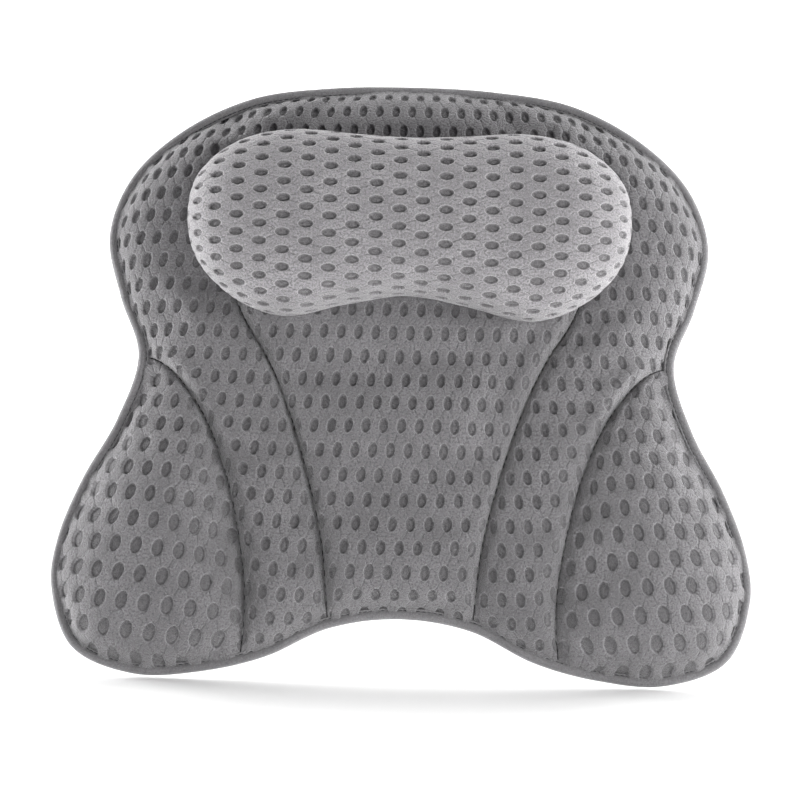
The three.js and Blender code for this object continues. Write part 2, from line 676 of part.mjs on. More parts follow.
const cups = Object.entries(CUP_SHARES).map(([name, shares]) => ({ name, place: onPanel(shares) }));
const holes = (radius) => cups.map(({ place }) => ({ place, radius }));
const rearCover = plate(clothEdge, WALL_GAP, REAR_FRONT, holes(BARREL_RADIUS + CLEARANCE));
const spacer = plate(inset(SPACER_INSET), INNER_BACK, SPACER_FRONT, holes(WASHER_RADIUS + CLEARANCE));

const finish = (color, roughness, extra) =>
  new THREE.MeshStandardMaterial({ color, roughness, metalness: 0, ...extra });
const panelMesh = finish(0x77767a, 0.95);
const headMesh = finish(0x939195, 0.95);
const tape = finish(0x807f82, 0.85);
const foam = finish(0xe8e4da, 0.9);
const knit = finish(0xa9a8ab, 0.9);
const clearVinyl = finish(0xdfe8ea, 0.15, { transparent: true, opacity: 0.6 });
const hardPlastic = finish(0x6f6e72, 0.5);

const group = new THREE.Group();
group.rotation.x = Math.PI / 2 - RECLINE;

function add(name, geometry, look, place = new THREE.Vector2()) {
  const mesh = new THREE.Mesh(geometry, look.clone());
  mesh.name = name;
  mesh.position.set(place.x, place.y, 0);
  group.add(mesh);
}

const leftWingPlan = wingPlan.map(mirrored);
const footEnd = EDGE_DEPTHS.length + 1;
const wingEnds = [footEnd, footEnd + 1];
const padSides = [1, EDGE_DEPTHS.length];

add("head_cushion_cover", headCover(), headMesh);
add("head_cushion_base", headBase(), headMesh);
add("head_cushion_filling", headFilling(), foam);
add("arch_cover", cover(archPlan), panelMesh);
add("centre_cover", cover(centrePlan), panelMesh);
add("right_wing_cover", cover(wingPlan), panelMesh);
add("left_wing_cover", cover(leftWingPlan), panelMesh);
add("arch_pad", pad(archPlan, [footEnd, footEnd], padSides), foam);
add("centre_pad", pad(centrePlan, [footEnd, 1], [1, 1]), foam);
add("right_wing_pad", pad(wingPlan, wingEnds, padSides), foam);
add("left_wing_pad", pad(leftWingPlan, wingEnds, padSides), foam);
add("spacer_layer", spacer, knit);
add("rear_cover", rearCover, knit);
add("edge_binding", binding(), tape);
for (const { name, place } of cups) {
  add(`suction_cup_${name}`, cup(), clearVinyl, place);
  add(`eyelet_${name}`, eyelet(), hardPlastic, place);
  add(`washer_${name}`, washer(), hardPlastic, place);
}

export default group;
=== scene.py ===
"""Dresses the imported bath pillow: its cushions, cloth, edge tape and suction cups, its light and its camera.

All lengths are metres. The panel's own frame has x to the right, y up the panel and z off the bath wall.
Pieces are made in that frame, and TO_ROW then leans them back into the frame of the CAD.
"""

import logging
import math
from dataclasses import dataclass, field, replace
from enum import Enum
from functools import partial

import bpy
import numpy as np
from mathutils import Matrix, Vector
from mathutils.bvhtree import BVHTree
from mathutils.geometry import barycentric_transform, delaunay_2d_cdt
from mathutils.kdtree import KDTree


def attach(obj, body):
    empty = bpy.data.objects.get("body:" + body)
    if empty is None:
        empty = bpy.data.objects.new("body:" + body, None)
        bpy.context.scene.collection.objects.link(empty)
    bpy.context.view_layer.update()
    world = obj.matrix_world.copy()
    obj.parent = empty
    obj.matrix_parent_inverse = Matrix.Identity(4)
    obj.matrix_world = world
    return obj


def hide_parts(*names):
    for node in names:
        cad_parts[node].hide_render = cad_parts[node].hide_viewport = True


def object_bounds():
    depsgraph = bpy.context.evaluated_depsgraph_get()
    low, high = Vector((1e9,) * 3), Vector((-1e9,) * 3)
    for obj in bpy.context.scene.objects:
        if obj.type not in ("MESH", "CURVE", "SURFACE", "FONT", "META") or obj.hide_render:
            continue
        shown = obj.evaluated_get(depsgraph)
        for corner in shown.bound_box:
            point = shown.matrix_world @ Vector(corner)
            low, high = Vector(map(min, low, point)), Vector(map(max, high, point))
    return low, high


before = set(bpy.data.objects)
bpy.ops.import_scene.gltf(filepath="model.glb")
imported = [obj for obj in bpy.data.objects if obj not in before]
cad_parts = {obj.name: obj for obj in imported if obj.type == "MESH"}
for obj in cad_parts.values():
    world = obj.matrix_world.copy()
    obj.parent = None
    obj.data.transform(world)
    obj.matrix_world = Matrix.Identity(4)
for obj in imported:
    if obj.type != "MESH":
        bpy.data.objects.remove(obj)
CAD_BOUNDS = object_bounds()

log = logging.getLogger("bath_pillow")

RECLINE = math.radians(20)
TO_ROW = Matrix.Rotation(math.pi / 2 - RECLINE, 4, "X")
CLEARANCE = 0.0003
ON_BORDER = 1e-5
PILLOW = "pillow"

Points = np.ndarray
Colour = tuple[float, float, float, float]
Socket = bpy.types.NodeSocket
Fed = float | tuple | Socket


# Lines in the plane of the panel


def lengths(line: Points) -> Points:
    """Distance along a line of each of its points."""
    steps = np.linalg.norm(np.diff(line, axis=0), axis=1)
    return np.concatenate([[0.0], np.cumsum(steps)])


def between(wanted: Points, known: Points, line: Points) -> Points:
    """Points of a line at wanted places, from the places of its own points."""
    return np.stack([np.interp(wanted, known, axis) for axis in line.T], axis=1)


def looped(line: Points) -> Points:
    """A closed line, with its first point again at its end."""
    return np.vstack([line, line[:1]])


def along(line: Points, count: int) -> Points:
    """Points that divide a line evenly.

    Args:
        line: the line's points.
        count: how many points, both ends included.

    Returns:
        The points, one row each.
    """
    reach = lengths(line)
    return between(np.linspace(0.0, reach[-1], count), reach, line)


def curve_at(points: Points, stations: Points, closed: bool) -> Points:
    """Places on a smooth line through points.

    Args:
        points: the points that the line goes through.
        stations: places on it, counted from point to point.
        closed: whether the line returns to its first point.

    Returns:
        One point for each station.
    """
    count = len(points)
    spans = count if closed else count - 1
    if closed:
        padded = np.vstack([points[-1:], points, points[:2]])
    else:
        padded = np.vstack([2 * points[0] - points[1], points, 2 * points[-1] - points[-2]])
    first = np.clip(np.floor(stations).astype(int), 0, spans - 1)
    share = (stations - first)[:, None]
    p0, p1, p2, p3 = (padded[first + i] for i in range(4))
    pairs = ((p0, p1), (p1, p2), (p2, p3))
    d0, d1, d2 = (np.sqrt(np.linalg.norm(b - a, axis=1))[:, None] for a, b in pairs)
    start = (p1 - p0) / d0 - (p2 - p0) / (d0 + d1) + (p2 - p1) / d1
    end = (p2 - p1) / d1 - (p3 - p1) / (d1 + d2) + (p3 - p2) / d2
    start, end = start * d1, end * d1
    bend = 2 * p1 - 2 * p2 + start + end
    swing = -3 * p1 + 3 * p2 - 2 * start - end
    return bend * share**3 + swing * share**2 + start * share + p1


def sidestep(line: Points, distance: float, closed: bool = False) -> Points:
    """A line moved to its left by a distance."""
    if closed:
        heading = np.roll(line, -1, axis=0) - np.roll(line, 1, axis=0)
    else:
        heading = np.gradient(line, axis=0)
    left = np.stack([-heading[:, 1], heading[:, 0]], axis=1)
    return line + distance * left / np.linalg.norm(left, axis=1, keepdims=True)


def distance_to(line: Points, points: Points) -> Points:
    """How far points lie from a line, by the two stretches beside the line's nearest point."""
    tree = KDTree(len(line))
    for number, (x, y) in enumerate(line):
        tree.insert((x, y, 0.0), number)
    tree.balance()
    nearest = np.array([tree.find((x, y, 0.0))[1] for x, y in points], int)
    best = np.full(len(points), np.inf)
    for first in (np.maximum(nearest - 1, 0), np.minimum(nearest, len(line) - 2)):
        start = line[first]
        edge = line[first + 1] - start
        square = np.maximum((edge**2).sum(axis=1), 1e-18)
        share = np.clip(((points - start) * edge).sum(axis=1) / square, 0.0, 1.0)
        away = points - start - share[:, None] * edge
        best = np.minimum(best, np.hypot(away[:, 0], away[:, 1]))
    return best


def distance_to_any(lines: list[Points], points: Points) -> Points:
    """How far points lie from the nearest of some lines."""
    return np.min([distance_to(line, points) for line in lines], axis=0)


def mirrored(line: Points) -> Points:
    """The other half's line, in the same order."""
    return line * np.array([-1.0, 1.0])


def both_halves(line: Points) -> Points:
    """A line that ends on the middle, and its mirror image after it."""
    return np.vstack([line, mirrored(line[:-1])[::-1]])


def inside(loop: Points, points: Points) -> Points:
    """Whether each of some points lies inside a closed loop."""
    after = np.roll(loop, -1, axis=0)
    crossings = np.zeros(len(points), int)
    for (x0, y0), (x1, y1) in zip(loop, after):
        spans = (y0 > points[:, 1]) != (y1 > points[:, 1])
        at = x0 + (points[:, 1] - y0) * (x1 - x0) / (y1 - y0 if y1 != y0 else 1.0)
        crossings += spans & (points[:, 0] < at)
    return crossings % 2 == 1


def smoothstep(values: Points, low: float, high: float) -> Points:
    """A soft step from 0 at low to 1 at high."""
    share = np.clip((values - low) / (high - low), 0.0, 1.0)
    return share * share * (3 - 2 * share)


def rise(distance: Points, roll: float, fullness: float = 2.0) -> Points:
    """Share of the full height at a distance from an edge that the cloth rolls over."""
    left = 1 - np.clip(distance / roll, 0.0, 1.0)
    return (1 - left**fullness) ** (1 / fullness)


# Meshes


def mesh_object(name: str, points: Points, faces: list) -> bpy.types.Object:
    """A new mesh object, alone selected and active."""
    mesh = bpy.data.meshes.new(name)
    places = [tuple(point) for point in np.asarray(points, float)]
    mesh.from_pydata(places, [], [tuple(int(i) for i in face) for face in faces])
    mesh.update()
    piece = bpy.data.objects.new(name, mesh)
    bpy.context.scene.collection.objects.link(piece)
    pick(piece)
    return piece


def pick(*pieces: bpy.types.Object) -> None:
    """Selects these objects alone. The first one becomes the active one."""
    bpy.ops.object.select_all(action="DESELECT")
    for piece in pieces:
        piece.select_set(True)
    bpy.context.view_layer.objects.active = pieces[0]


def read(items: bpy.types.bpy_prop_collection, name: str, width: int = 1, kind: type = float) -> Points:
    """A value of each of a mesh's items, or a row of values."""
    flat = np.empty(len(items) * width, kind)
    items.foreach_get(name, flat)
    return flat.reshape(-1, width) if width > 1 else flat


def coordinates(mesh: bpy.types.Mesh) -> Points:
    """The vertices of a mesh, one row each."""
    return read(mesh.vertices, "co", 3)


def move_to(mesh: bpy.types.Mesh, points: Points) -> None:
    """Puts the vertices of a mesh at new places."""
    mesh.vertices.foreach_set("co", np.asarray(points, float).ravel())
    mesh.update()


def normals(mesh: bpy.types.Mesh) -> Points:
    """The smooth normals of a mesh's vertices."""
    return read(mesh.vertex_normals, "vector", 3)


def faces_of(mesh: bpy.types.Mesh) -> list[list[int]]:
    """The faces of a mesh as lists of its vertices."""
    return [list(polygon.vertices) for polygon in mesh.polygons]


def border_edges(faces: list) -> list[tuple[int, int]]:
    """The edges that only one face has, in that face's direction."""
    found = {}
    for face in faces:
        for a, b in zip(face, [*face[1:], face[0]]):
            if (b, a) in found:
                del found[(b, a)]
            else:
                found[(a, b)] = None
    return list(found)


def slab(top: Points, faces: list, bottom: Points) -> tuple[Points, list]:
    """A closed body between a surface and another one with the same faces.

    Args:
        top: the vertices of the outer surface.
        faces: its faces, which look outwards.
        bottom: the vertices of the inner surface, in the same order.

    Returns:
        The vertices and the faces of the body.
    """
    count = len(top)
    lower = [[i + count for i in reversed(face)] for face in faces]
    sides = [[b, a, a + count, b + count] for a, b in border_edges(faces)]
    return np.vstack([top, bottom]), [*faces, *lower, *sides]


def apply_modifier(piece: bpy.types.Object, kind: str, **settings) -> None:
    """Adds a modifier to an object and applies it."""
    pick(piece)
    modifier = piece.modifiers.new(kind.title(), kind)
    for name, value in settings.items():
        setattr(modifier, name, value)
    bpy.ops.object.modifier_apply(modifier=modifier.name)


def subdivide(piece: bpy.types.Object, levels: int, **settings) -> None:
    """Smooths an object's mesh by a number of subdivision levels."""
    apply_modifier(piece, "SUBSURF", levels=levels, render_levels=levels, **settings)


def close_shell(outer: bpy.types.Object, inner: bpy.types.Object) -> None:
    """Joins an inner surface to an outer one and bridges their borders."""
    pick(outer, inner)
    bpy.ops.object.join()
    bpy.ops.object.mode_set(mode="EDIT")
    bpy.ops.mesh.select_mode(type="EDGE")
    bpy.ops.mesh.select_all(action="DESELECT")
    bpy.ops.mesh.select_non_manifold(extend=False, use_wire=False, use_multi_face=False,
                                     use_non_contiguous=False, use_verts=False)
    bpy.ops.mesh.bridge_edge_loops()
    bpy.ops.object.mode_set(mode="OBJECT")


def hand_over(piece: bpy.types.Object, body: str, nodes: list[str],
              finish: bpy.types.Material) -> None:
    """Leans a finished piece back into the row's frame, gives it its body and finish, and hides the nodes that
    it replaces.
    """
    piece.data.transform(TO_ROW)
    piece.data.materials.clear()
    piece.data.materials.append(finish)
    piece.data.polygons.foreach_set("use_smooth", [True] * len(piece.data.polygons))
    piece.data.update()
    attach(piece, body)
    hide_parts(*nodes)
    log.info("%s: %d faces, on %s, for %s", piece.name, len(piece.data.polygons), body, ", ".join(nodes))


# Shader trees


class Graph:
    """Adds nodes to a shader tree. A socket takes a number, a colour or another node's output."""

    def __init__(self, tree: bpy.types.NodeTree) -> None:
        """Works on a tree."""
        self.tree = tree

    def feed(self, socket: Socket, value: Fed) -> None:
        """Links an output to a socket, or sets the socket's own value."""
        if isinstance(value, Socket):
            self.tree.links.new(value, socket)
        else:
            socket.default_value = value

    def feed_all(self, node: bpy.types.Node, values: dict[str | int, Fed]) -> bpy.types.Node:
        """Feeds a node's sockets, by name or number, and returns the node."""
        for name, value in values.items():
            self.feed(node.inputs[name], value)
        return node

    def node(self, kind: str, inputs: dict | None = None, **settings) -> bpy.types.Node:
        """Adds a node.

        Args:
            kind: the node's type.
            inputs: values for its sockets, by name or number.
            settings: its other settings.

        Returns:
            The node.
        """
        node = self.tree.nodes.new(kind)
        for name, value in settings.items():
            setattr(node, name, value)
        return self.feed_all(node, inputs or {})

    def math(self, operation: str, *values: Fed) -> Socket:
        """The result of a Math node."""
        return self.node("ShaderNodeMath", dict(enumerate(values)), operation=operation).outputs[0]

    def times(self, first: Fed, *others: Fed) -> Socket:
        """The product of some values."""
        for other in others:
            first = self.math("MULTIPLY", first, other)
        return first

    def vectors(self, operation: str, *values: Fed) -> Socket:
        """The result of a Vector Math node."""
        made = self.node("ShaderNodeVectorMath", dict(enumerate(values)), operation=operation)
        return made.outputs["Value" if operation in ("DOT_PRODUCT", "LENGTH") else "Vector"]

    def soft_step(self, value: Fed, low: float, high: float) -> Socket:
        """A soft step from 0 at low to 1 at high."""
        limits = {"Value": value, "From Min": low, "From Max": high}
        return self.node("ShaderNodeMapRange", limits, interpolation_type="SMOOTHSTEP").outputs["Result"]

    def blend(self, share: Fed, first: Fed, second: Fed) -> Socket:
        """A colour between two."""
        return self.node("ShaderNodeMix", {0: share, 6: first, 7: second}, data_type="RGBA").outputs[2]

    def noise(self, vector: Socket, scale: Fed, detail: float, rough: float = 0.5) -> Socket:
        """Noise from 0 to 1 over a vector in metres."""
        inputs = {"Vector": vector, "Scale": scale, "Detail": detail, "Roughness": rough}
        return self.node("ShaderNodeTexNoise", inputs).outputs[0]

    def bump(self, height: Socket, strength: float, distance: float) -> Socket:
        """A normal that follows a height."""
        inputs = {"Height": height, "Strength": strength, "Distance": distance}
        return self.node("ShaderNodeBump", inputs).outputs[0]

    def coords(self, kind: str = "Object") -> Socket:
        """The coordinates of a kind."""
        return self.node("ShaderNodeTexCoord").outputs[kind]

    def cloth(self) -> Socket:
        """The place on the flat cloth."""
        return self.node("ShaderNodeUVMap", uv_map="cloth").outputs[0]

    def place(self, attribute: str) -> Socket:
        """A vector that the mesh carries."""
        return self.node("ShaderNodeAttribute", attribute_name=attribute).outputs["Vector"]

    def group(self, tree: bpy.types.NodeTree, inputs: dict[str, Fed]) -> bpy.types.Node:
        """Places a node group."""
        return self.feed_all(self.node("ShaderNodeGroup", node_tree=tree), inputs)


def tinted(colour: Colour, share: float) -> Colour:
    """A colour made lighter or darker by a share."""
    return (*(min(1.0, channel * share) for channel in colour[:3]), 1.0)


def new_group(name: str, inputs: dict[str, str],
              outputs: dict[str, str]) -> tuple[Graph, bpy.types.Node, bpy.types.Node]:
    """An empty node group.

    Args:
        name: the group's name.
        inputs: socket names with their types.
        outputs: the same for its outputs.

    Returns:
        The graph, and the nodes that hold its inputs and its outputs.
    """
    tree = bpy.data.node_groups.new(name, "ShaderNodeTree")
    for label, kind in inputs.items():
        tree.interface.new_socket(name=label, in_out="INPUT", socket_type=kind)
    for label, kind in outputs.items():
        tree.interface.new_socket(name=label, in_out="OUTPUT", socket_type=kind)
    graph = Graph(tree)
    return graph, graph.node("NodeGroupInput"), graph.node("NodeGroupOutput")


def mesh_lattice_group() -> bpy.types.NodeTree:
    """An air mesh's dimples: Ring is 1 on a dimple's rim, Crease is 0 on the folds between them."""
    number, vector = "NodeSocketFloat", "NodeSocketVector"
    graph, given, result = new_group(
        "mesh_lattice",
        {"Vector": vector, "Half Length": number, "Half Width": number},
        {"Ring": number, "Crease": number},
    )
    parts = graph.node("ShaderNodeSeparateXYZ", {0: given.outputs["Vector"]})
    u, v, lean = parts.outputs[0], parts.outputs[1], parts.outputs[2]

    def ring(shift_u: float, shift_v: float) -> Socket:
        """Distance from the nearest dimple of one half of the rows, in half sizes."""
        dv = graph.math("WRAP", graph.math("SUBTRACT", v, shift_v), 1.0, -1.0)
        du = graph.math("WRAP", graph.math("SUBTRACT", u, shift_u), 0.5, -0.5)
        du = graph.math("SUBTRACT", du, graph.times(lean, dv))
        across = graph.math("DIVIDE", du, given.outputs["Half Width"])
        up = graph.math("DIVIDE", dv, given.outputs["Half Length"])
        return graph.math("SQRT", graph.math("ADD", graph.times(across, across), graph.times(up, up)))

    def crease(sign: float) -> Socket:
        """Distance from one set of the slanting lines that join the dimples."""
        slant = graph.math("MULTIPLY_ADD", u, 2.0, graph.times(v, sign))
        return graph.math("ABSOLUTE", graph.math("WRAP", slant, 1.0, -1.0))

    graph.feed(result.inputs["Ring"], graph.math("MINIMUM", ring(0.0, 0.0), ring(0.5, 1.0)))
    graph.feed(result.inputs["Crease"], graph.math("MINIMUM", crease(1.0), crease(-1.0)))
    return graph.tree


def brushed_pile_group() -> bpy.types.NodeTree:
    """Brushed cloth: Grain is its short pile, Tips its lightest hairs and Cloud the drift of its nap."""
    number = "NodeSocketFloat"
    graph, given, result = new_group(
        "brushed_pile",
        {"Vector": "NodeSocketVector", "Grain Size": number, "Cloud Size": number},
        {"Grain": number, "Tips": number, "Cloud": number},
    )
    place = given.outputs["Vector"]
    fine = graph.math("DIVIDE", 1.0, given.outputs["Grain Size"])
    broad = graph.math("DIVIDE", 1.0, given.outputs["Cloud Size"])
    graph.feed_all(result, {
        "Grain": graph.soft_step(graph.noise(place, fine, 3.0, 0.7), 0.36, 0.6),
        "Tips": graph.soft_step(graph.noise(place, graph.times(fine, 1.7), 1.0), 0.55, 0.7),
        "Cloud": graph.soft_step(graph.noise(place, broad, 3.0, 0.55), 0.35, 0.65),
    })
    return graph.tree


class Groups:
    """The node groups that more than one finish uses, each built once."""

    def __init__(self) -> None:
        """Builds them."""
        self.lattice = mesh_lattice_group()
        self.pile = brushed_pile_group()

    def brushed(self, graph: Graph, vector: Socket, grain: float,
                cloud: float) -> tuple[Socket, Socket, Socket]:
        """Places the brushed pile and returns its grain, its tips and its cloud."""
        pile = graph.group(self.pile, {"Vector": vector, "Grain Size": grain, "Cloud Size": cloud})
        return pile.outputs["Grain"], pile.outputs["Tips"], pile.outputs["Cloud"]


def new_finish(name: str) -> tuple[bpy.types.Material, Graph, bpy.types.Node]:
    """A new material, its graph and its shader."""
    made = bpy.data.materials.new(name)
    made.use_nodes = True
    return made, Graph(made.node_tree), made.node_tree.nodes["Principled BSDF"]


@dataclass(frozen=True)
class Lattice:
    """Where an air mesh has its dimples.

    Attributes:
        pitch: between two dimples of a row.
        rows: between two rows.
        half_width: of a dimple, along its row.
        half_length: of a dimple, across its row.
        depth: of a dimple.
        upright: whether the rows run across the piece, and not up it.
        spread: how much closer the rows and the columns lie for each metre up the panel.
        lean: how far the dimples lean to the middle, for each metre that they lie from it.
        middle: the place across the cloth at which the columns don't lean.
        tilt: turn of the rows, anticlockwise.
        skew: how far the columns drift to the right, for each metre up the panel.
        through: a place on the flat cloth where a dimple lies.
        crease: depth of the folds that join the dimples.
        foot: where a dimple's wall ends, in half sizes from its middle.
        rim: where its wall starts.
    """

    pitch: float
    rows: float
    half_width: float
    half_length: float
    depth: float
    upright: bool = True
    spread: float = 0.4
    lean: float = 0.0
    middle: float = 0.0
    tilt: float = 0.0
    skew: float = 0.0
    through: tuple[float, float] = (0.0, 0.0)
    crease: float = 0.0002
    foot: float = 0.84
    rim: float = 1.04

    def counted(self, flat: Points) -> Points:
        """Pitches along the rows, rows, and the lean there, counted from the middle."""
        cos, sin = math.cos(self.tilt), math.sin(self.tilt)
        across = flat[:, 0] - self.middle - self.skew * flat[:, 1]
        x, y = across * cos + flat[:, 1] * sin, flat[:, 1] * cos - across * sin
        if not self.upright:
            return np.stack([y / self.pitch, x / self.rows, np.zeros(len(x))], axis=1)
        u = x * (1 + self.spread * y) / self.pitch
        v = -np.log(1 - self.spread * y) / (self.spread * self.rows)
        return np.stack([u, v, -self.lean * x * self.rows / self.pitch], axis=1)

    def places(self, flat: Points) -> Points:
        """The same, counted from a dimple."""
        first = self.counted(np.array([self.through]))
        first[:, 2] = 0.0
        return self.counted(flat) - first

    def ring(self, places: Points) -> Points:
        """Distance from the nearest dimple's middle, in half sizes."""
        u, v, lean = places.T
        rings = []
        for shift_u, shift_v in ((0.0, 0.0), (0.5, 1.0)):
            dv = (v - shift_v) - 2 * np.round((v - shift_v) / 2)
            du = (u - shift_u) - np.round(u - shift_u) - lean * dv
            rings.append(np.hypot(du * self.pitch / self.half_width, dv * self.rows / self.half_length))
        return np.minimum(*rings)

    def sink(self, places: Points) -> Points:
        """How deep the cloth lies under its outer face."""
        ring = self.ring(places)
        floor = 1 - np.clip((ring - self.foot) / (self.rim - self.foot), 0.0, 1.0)
        swell = 0.3 * np.clip(1 - (ring / self.foot) ** 2, 0.0, 1.0)
        shoulder = 0.07 * np.exp(-(((np.maximum(ring, self.rim) - self.rim) / 0.2) ** 2))
        u, v, _ = places.T
        slants = [np.abs(slant - 2 * np.round(slant / 2)) for slant in (2 * u + v, 2 * u - v)]
        fold = np.exp(-((np.minimum(*slants) / 0.12) ** 2)) * smoothstep(ring, 0.9, 1.3)
        return self.depth * (floor - swell + shoulder) + self.crease * fold

    def snap(self, flat: Points, reach: float) -> Points:
        """Moves of points of the flat cloth onto the rim or the foot of a dimple, no longer than a reach."""
        nudge = reach / 50
        ring = self.ring(self.places(flat))
        steps = [self.ring(self.places(flat + shift)) - ring for shift in ((nudge, 0.0), (0.0, nudge))]
        slope = np.stack(steps, axis=1) / nudge
        target = np.where(ring > (self.rim + self.foot) / 2, self.rim, self.foot)
        steep = np.maximum((slope**2).sum(axis=1), 1e-9)
        move = ((target - ring) / steep)[:, None] * slope
        move[np.linalg.norm(move, axis=1) > reach] = 0.0
        return move


@dataclass(frozen=True)
class MeshFinish:
    """Thick air mesh with a brushed face, whose dimples show a darker net under painted shade, with painted
    shade in its creases and on the dimples' walls and a painted highlight on each rim.

    Attributes:
        name: the material's name.
        colour: of the brushed face.
        lattice: where the dimples lie.
        floor: how light the dimples' floor is, against the face: the net's own darker colour and painted shade
            of the recess.
        sheen: weight of the pile's sheen.
        grain: size of its pile.
        cloud: size of the drifts of its nap.
        bends: of the creases between the dimples, for each metre.
        gaps: in those creases, for each metre.
        threads: of the net on the dimples' floor, for each metre.
        relief: depth of the bumps of the pile, the creases and the net.
    """

    name: str
    colour: Colour
    lattice: Lattice
    floor: float = 0.84
    sheen: float = 0.4
    grain: float = 0.0013
    cloud: float = 0.03
    bends: float = 170.0
    gaps: float = 260.0
    threads: float = 1100.0
    relief: float = 0.0006

    def creases(self, graph: Graph, groups: Groups, ring: Socket) -> Socket:
        """1 on the wavering lines that join the dimples, which the material darkens as painted shade."""
        cloth = graph.cloth()
        waver = graph.node("ShaderNodeTexNoise", {"Vector": cloth, "Scale": self.bends, "Detail": 1.0})
        waver = graph.vectors("SUBTRACT", waver.outputs["Color"], (0.5, 0.5, 0.5))
        waver = graph.vectors("MULTIPLY_ADD", waver, (0.22, 0.22, 0.0), graph.place("lattice"))
        puckered = graph.group(groups.lattice, {"Vector": waver, "Half Length": 1.0, "Half Width": 1.0})
        lines = graph.soft_step(puckered.outputs["Crease"], 0.11, 0.03)
        broken = graph.soft_step(graph.noise(cloth, self.gaps, 1.0), 0.3, 0.5)
        return graph.times(lines, broken, graph.soft_step(ring, 1.05, 1.2))

    def material(self, groups: Groups) -> bpy.types.Material:
        """Builds the material."""
        made, graph, shader = new_finish(self.name)
        tint = partial(tinted, self.colour)
        cloth = graph.cloth()
        grain, tips, cloud = groups.brushed(graph, cloth, self.grain, self.cloud)
        ring = graph.group(groups.lattice, {
            "Vector": graph.place("lattice"),
            "Half Length": self.lattice.half_length / self.lattice.rows,
            "Half Width": self.lattice.half_width / self.lattice.pitch,
        }).outputs["Ring"]
        lines = self.creases(graph, groups, ring)
        # The dimples' floor, which is darker from the net's own colour and from painted shade of the recess.
        floor = graph.soft_step(ring, 0.98, 0.9)
        # The dimples' walls, which get painted shade.
        wall = graph.times(graph.soft_step(ring, 0.84, 0.96), graph.soft_step(ring, 1.06, 1.0))
        # The dimples' rims, which get a painted highlight.
        rim = graph.times(graph.soft_step(ring, 1.0, 1.07), graph.soft_step(ring, 1.22, 1.1))
        net = {"Vector": cloth, "Scale": self.threads}
        net = graph.node("ShaderNodeTexVoronoi", net, feature="DISTANCE_TO_EDGE")
        holes = graph.soft_step(net.outputs["Distance"], 0.08, 0.3)

        face = graph.blend(cloud, tint(0.88), tint(1.12))
        face = graph.blend(grain, tint(0.62), face)
        face = graph.blend(graph.times(tips, 0.4), face, tint(1.8))
        # Painted highlight along the dimples' rims.
        face = graph.blend(graph.times(rim, 0.35), face, tint(1.7))
        # Painted shade along the creases between the dimples.
        face = graph.blend(graph.times(lines, 0.22), face, tint(0.3))
        # The dimples' floor: the net's darker colour, plus painted shade of the recess.
        sunk = graph.blend(graph.times(holes, 0.3), tint(self.floor), tint(self.floor * 0.6))
        sunk = graph.blend(grain, tint(self.floor * 0.7), sunk)
        face = graph.blend(floor, face, sunk)
        # Painted shade on the dimples' walls.
        face = graph.blend(graph.times(wall, 0.35), face, tint(0.3))

        height = graph.math("SUBTRACT", graph.times(grain, 0.6), graph.times(lines, 0.5))
        height = graph.math("SUBTRACT", height, graph.times(holes, floor, 0.5))
        graph.feed_all(shader, {
            "Base Color": face,
            "Normal": graph.bump(height, 1.0, self.relief),
            "Roughness": 0.92,
            "Specular IOR Level": 0.2,
            "Sheen Weight": self.sheen,
            "Sheen Roughness": 0.45,
        })
        return made


@dataclass(frozen=True)
class TapeFinish:
    """Brushed binding tape, or its thread.

    Attributes:
        name: the material's name.
        colour: of the cloth.
        grain: size of its pile.
        relief: depth of the pile's bumps.
        cloud: size of the drifts of its nap.
        sheen: weight of its sheen.
    """

    name: str
    colour: Colour
    grain: float = 0.0011
    relief: float = 0.0003
    cloud: float = 0.02
    sheen: float = 0.3

    def material(self, groups: Groups) -> bpy.types.Material:
        """Builds the material."""
        made, graph, shader = new_finish(self.name)
        tint = partial(tinted, self.colour)
        grain, tips, cloud = groups.brushed(graph, graph.coords(), self.grain, self.cloud)
        face = graph.blend(cloud, tint(0.9), tint(1.1))
        face = graph.blend(graph.times(grain, 0.7), tint(0.68), face)
        face = graph.blend(graph.times(tips, 0.4), face, tint(1.5))
        graph.feed_all(shader, {
            "Base Color": face,
            "Normal": graph.bump(grain, 0.6, self.relief),
            "Roughness": 0.88,
            "Specular IOR Level": 0.25,
            "Sheen Weight": self.sheen,
            "Sheen Roughness": 0.5,
        })
        return made


@dataclass(frozen=True)
class NetFinish:
    """A knitted net: fine on the back, open in the spacer.

    Attributes:
        name: the material's name.
        colour: of the yarn.
        hole: between two holes.
        grain: size of the yarn's fibres.
        cloud: size of its lighter and darker patches.
        relief: depth of the holes.
    """

    name: str
    colour: Colour
    hole: float = 0.0022
    grain: float = 0.0009
    cloud: float = 0.05
    relief: float = 0.0005

    def material(self, groups: Groups) -> bpy.types.Material:
        """Builds the material."""
        made, graph, shader = new_finish(self.name)
        tint = partial(tinted, self.colour)
        cloth = graph.cloth()
        grain, _, cloud = groups.brushed(graph, cloth, self.grain, self.cloud)
        counted = graph.vectors("MULTIPLY", cloth, (1 / self.hole, 1 / self.hole, 0.0))
        net = graph.group(groups.lattice, {"Vector": counted, "Half Length": 0.5, "Half Width": 0.26})
        hole = graph.soft_step(net.outputs["Ring"], 1.15, 0.8)
        face = graph.blend(cloud, tint(0.88), tint(1.1))
        face = graph.blend(graph.times(grain, 0.5), tint(0.75), face)
        face = graph.blend(hole, face, tint(0.2))
        normal = graph.bump(graph.math("SUBTRACT", 1.0, hole), 0.9, self.relief)
        graph.feed_all(shader, {"Base Color": face, "Normal": normal, "Roughness": 0.8})
        return made


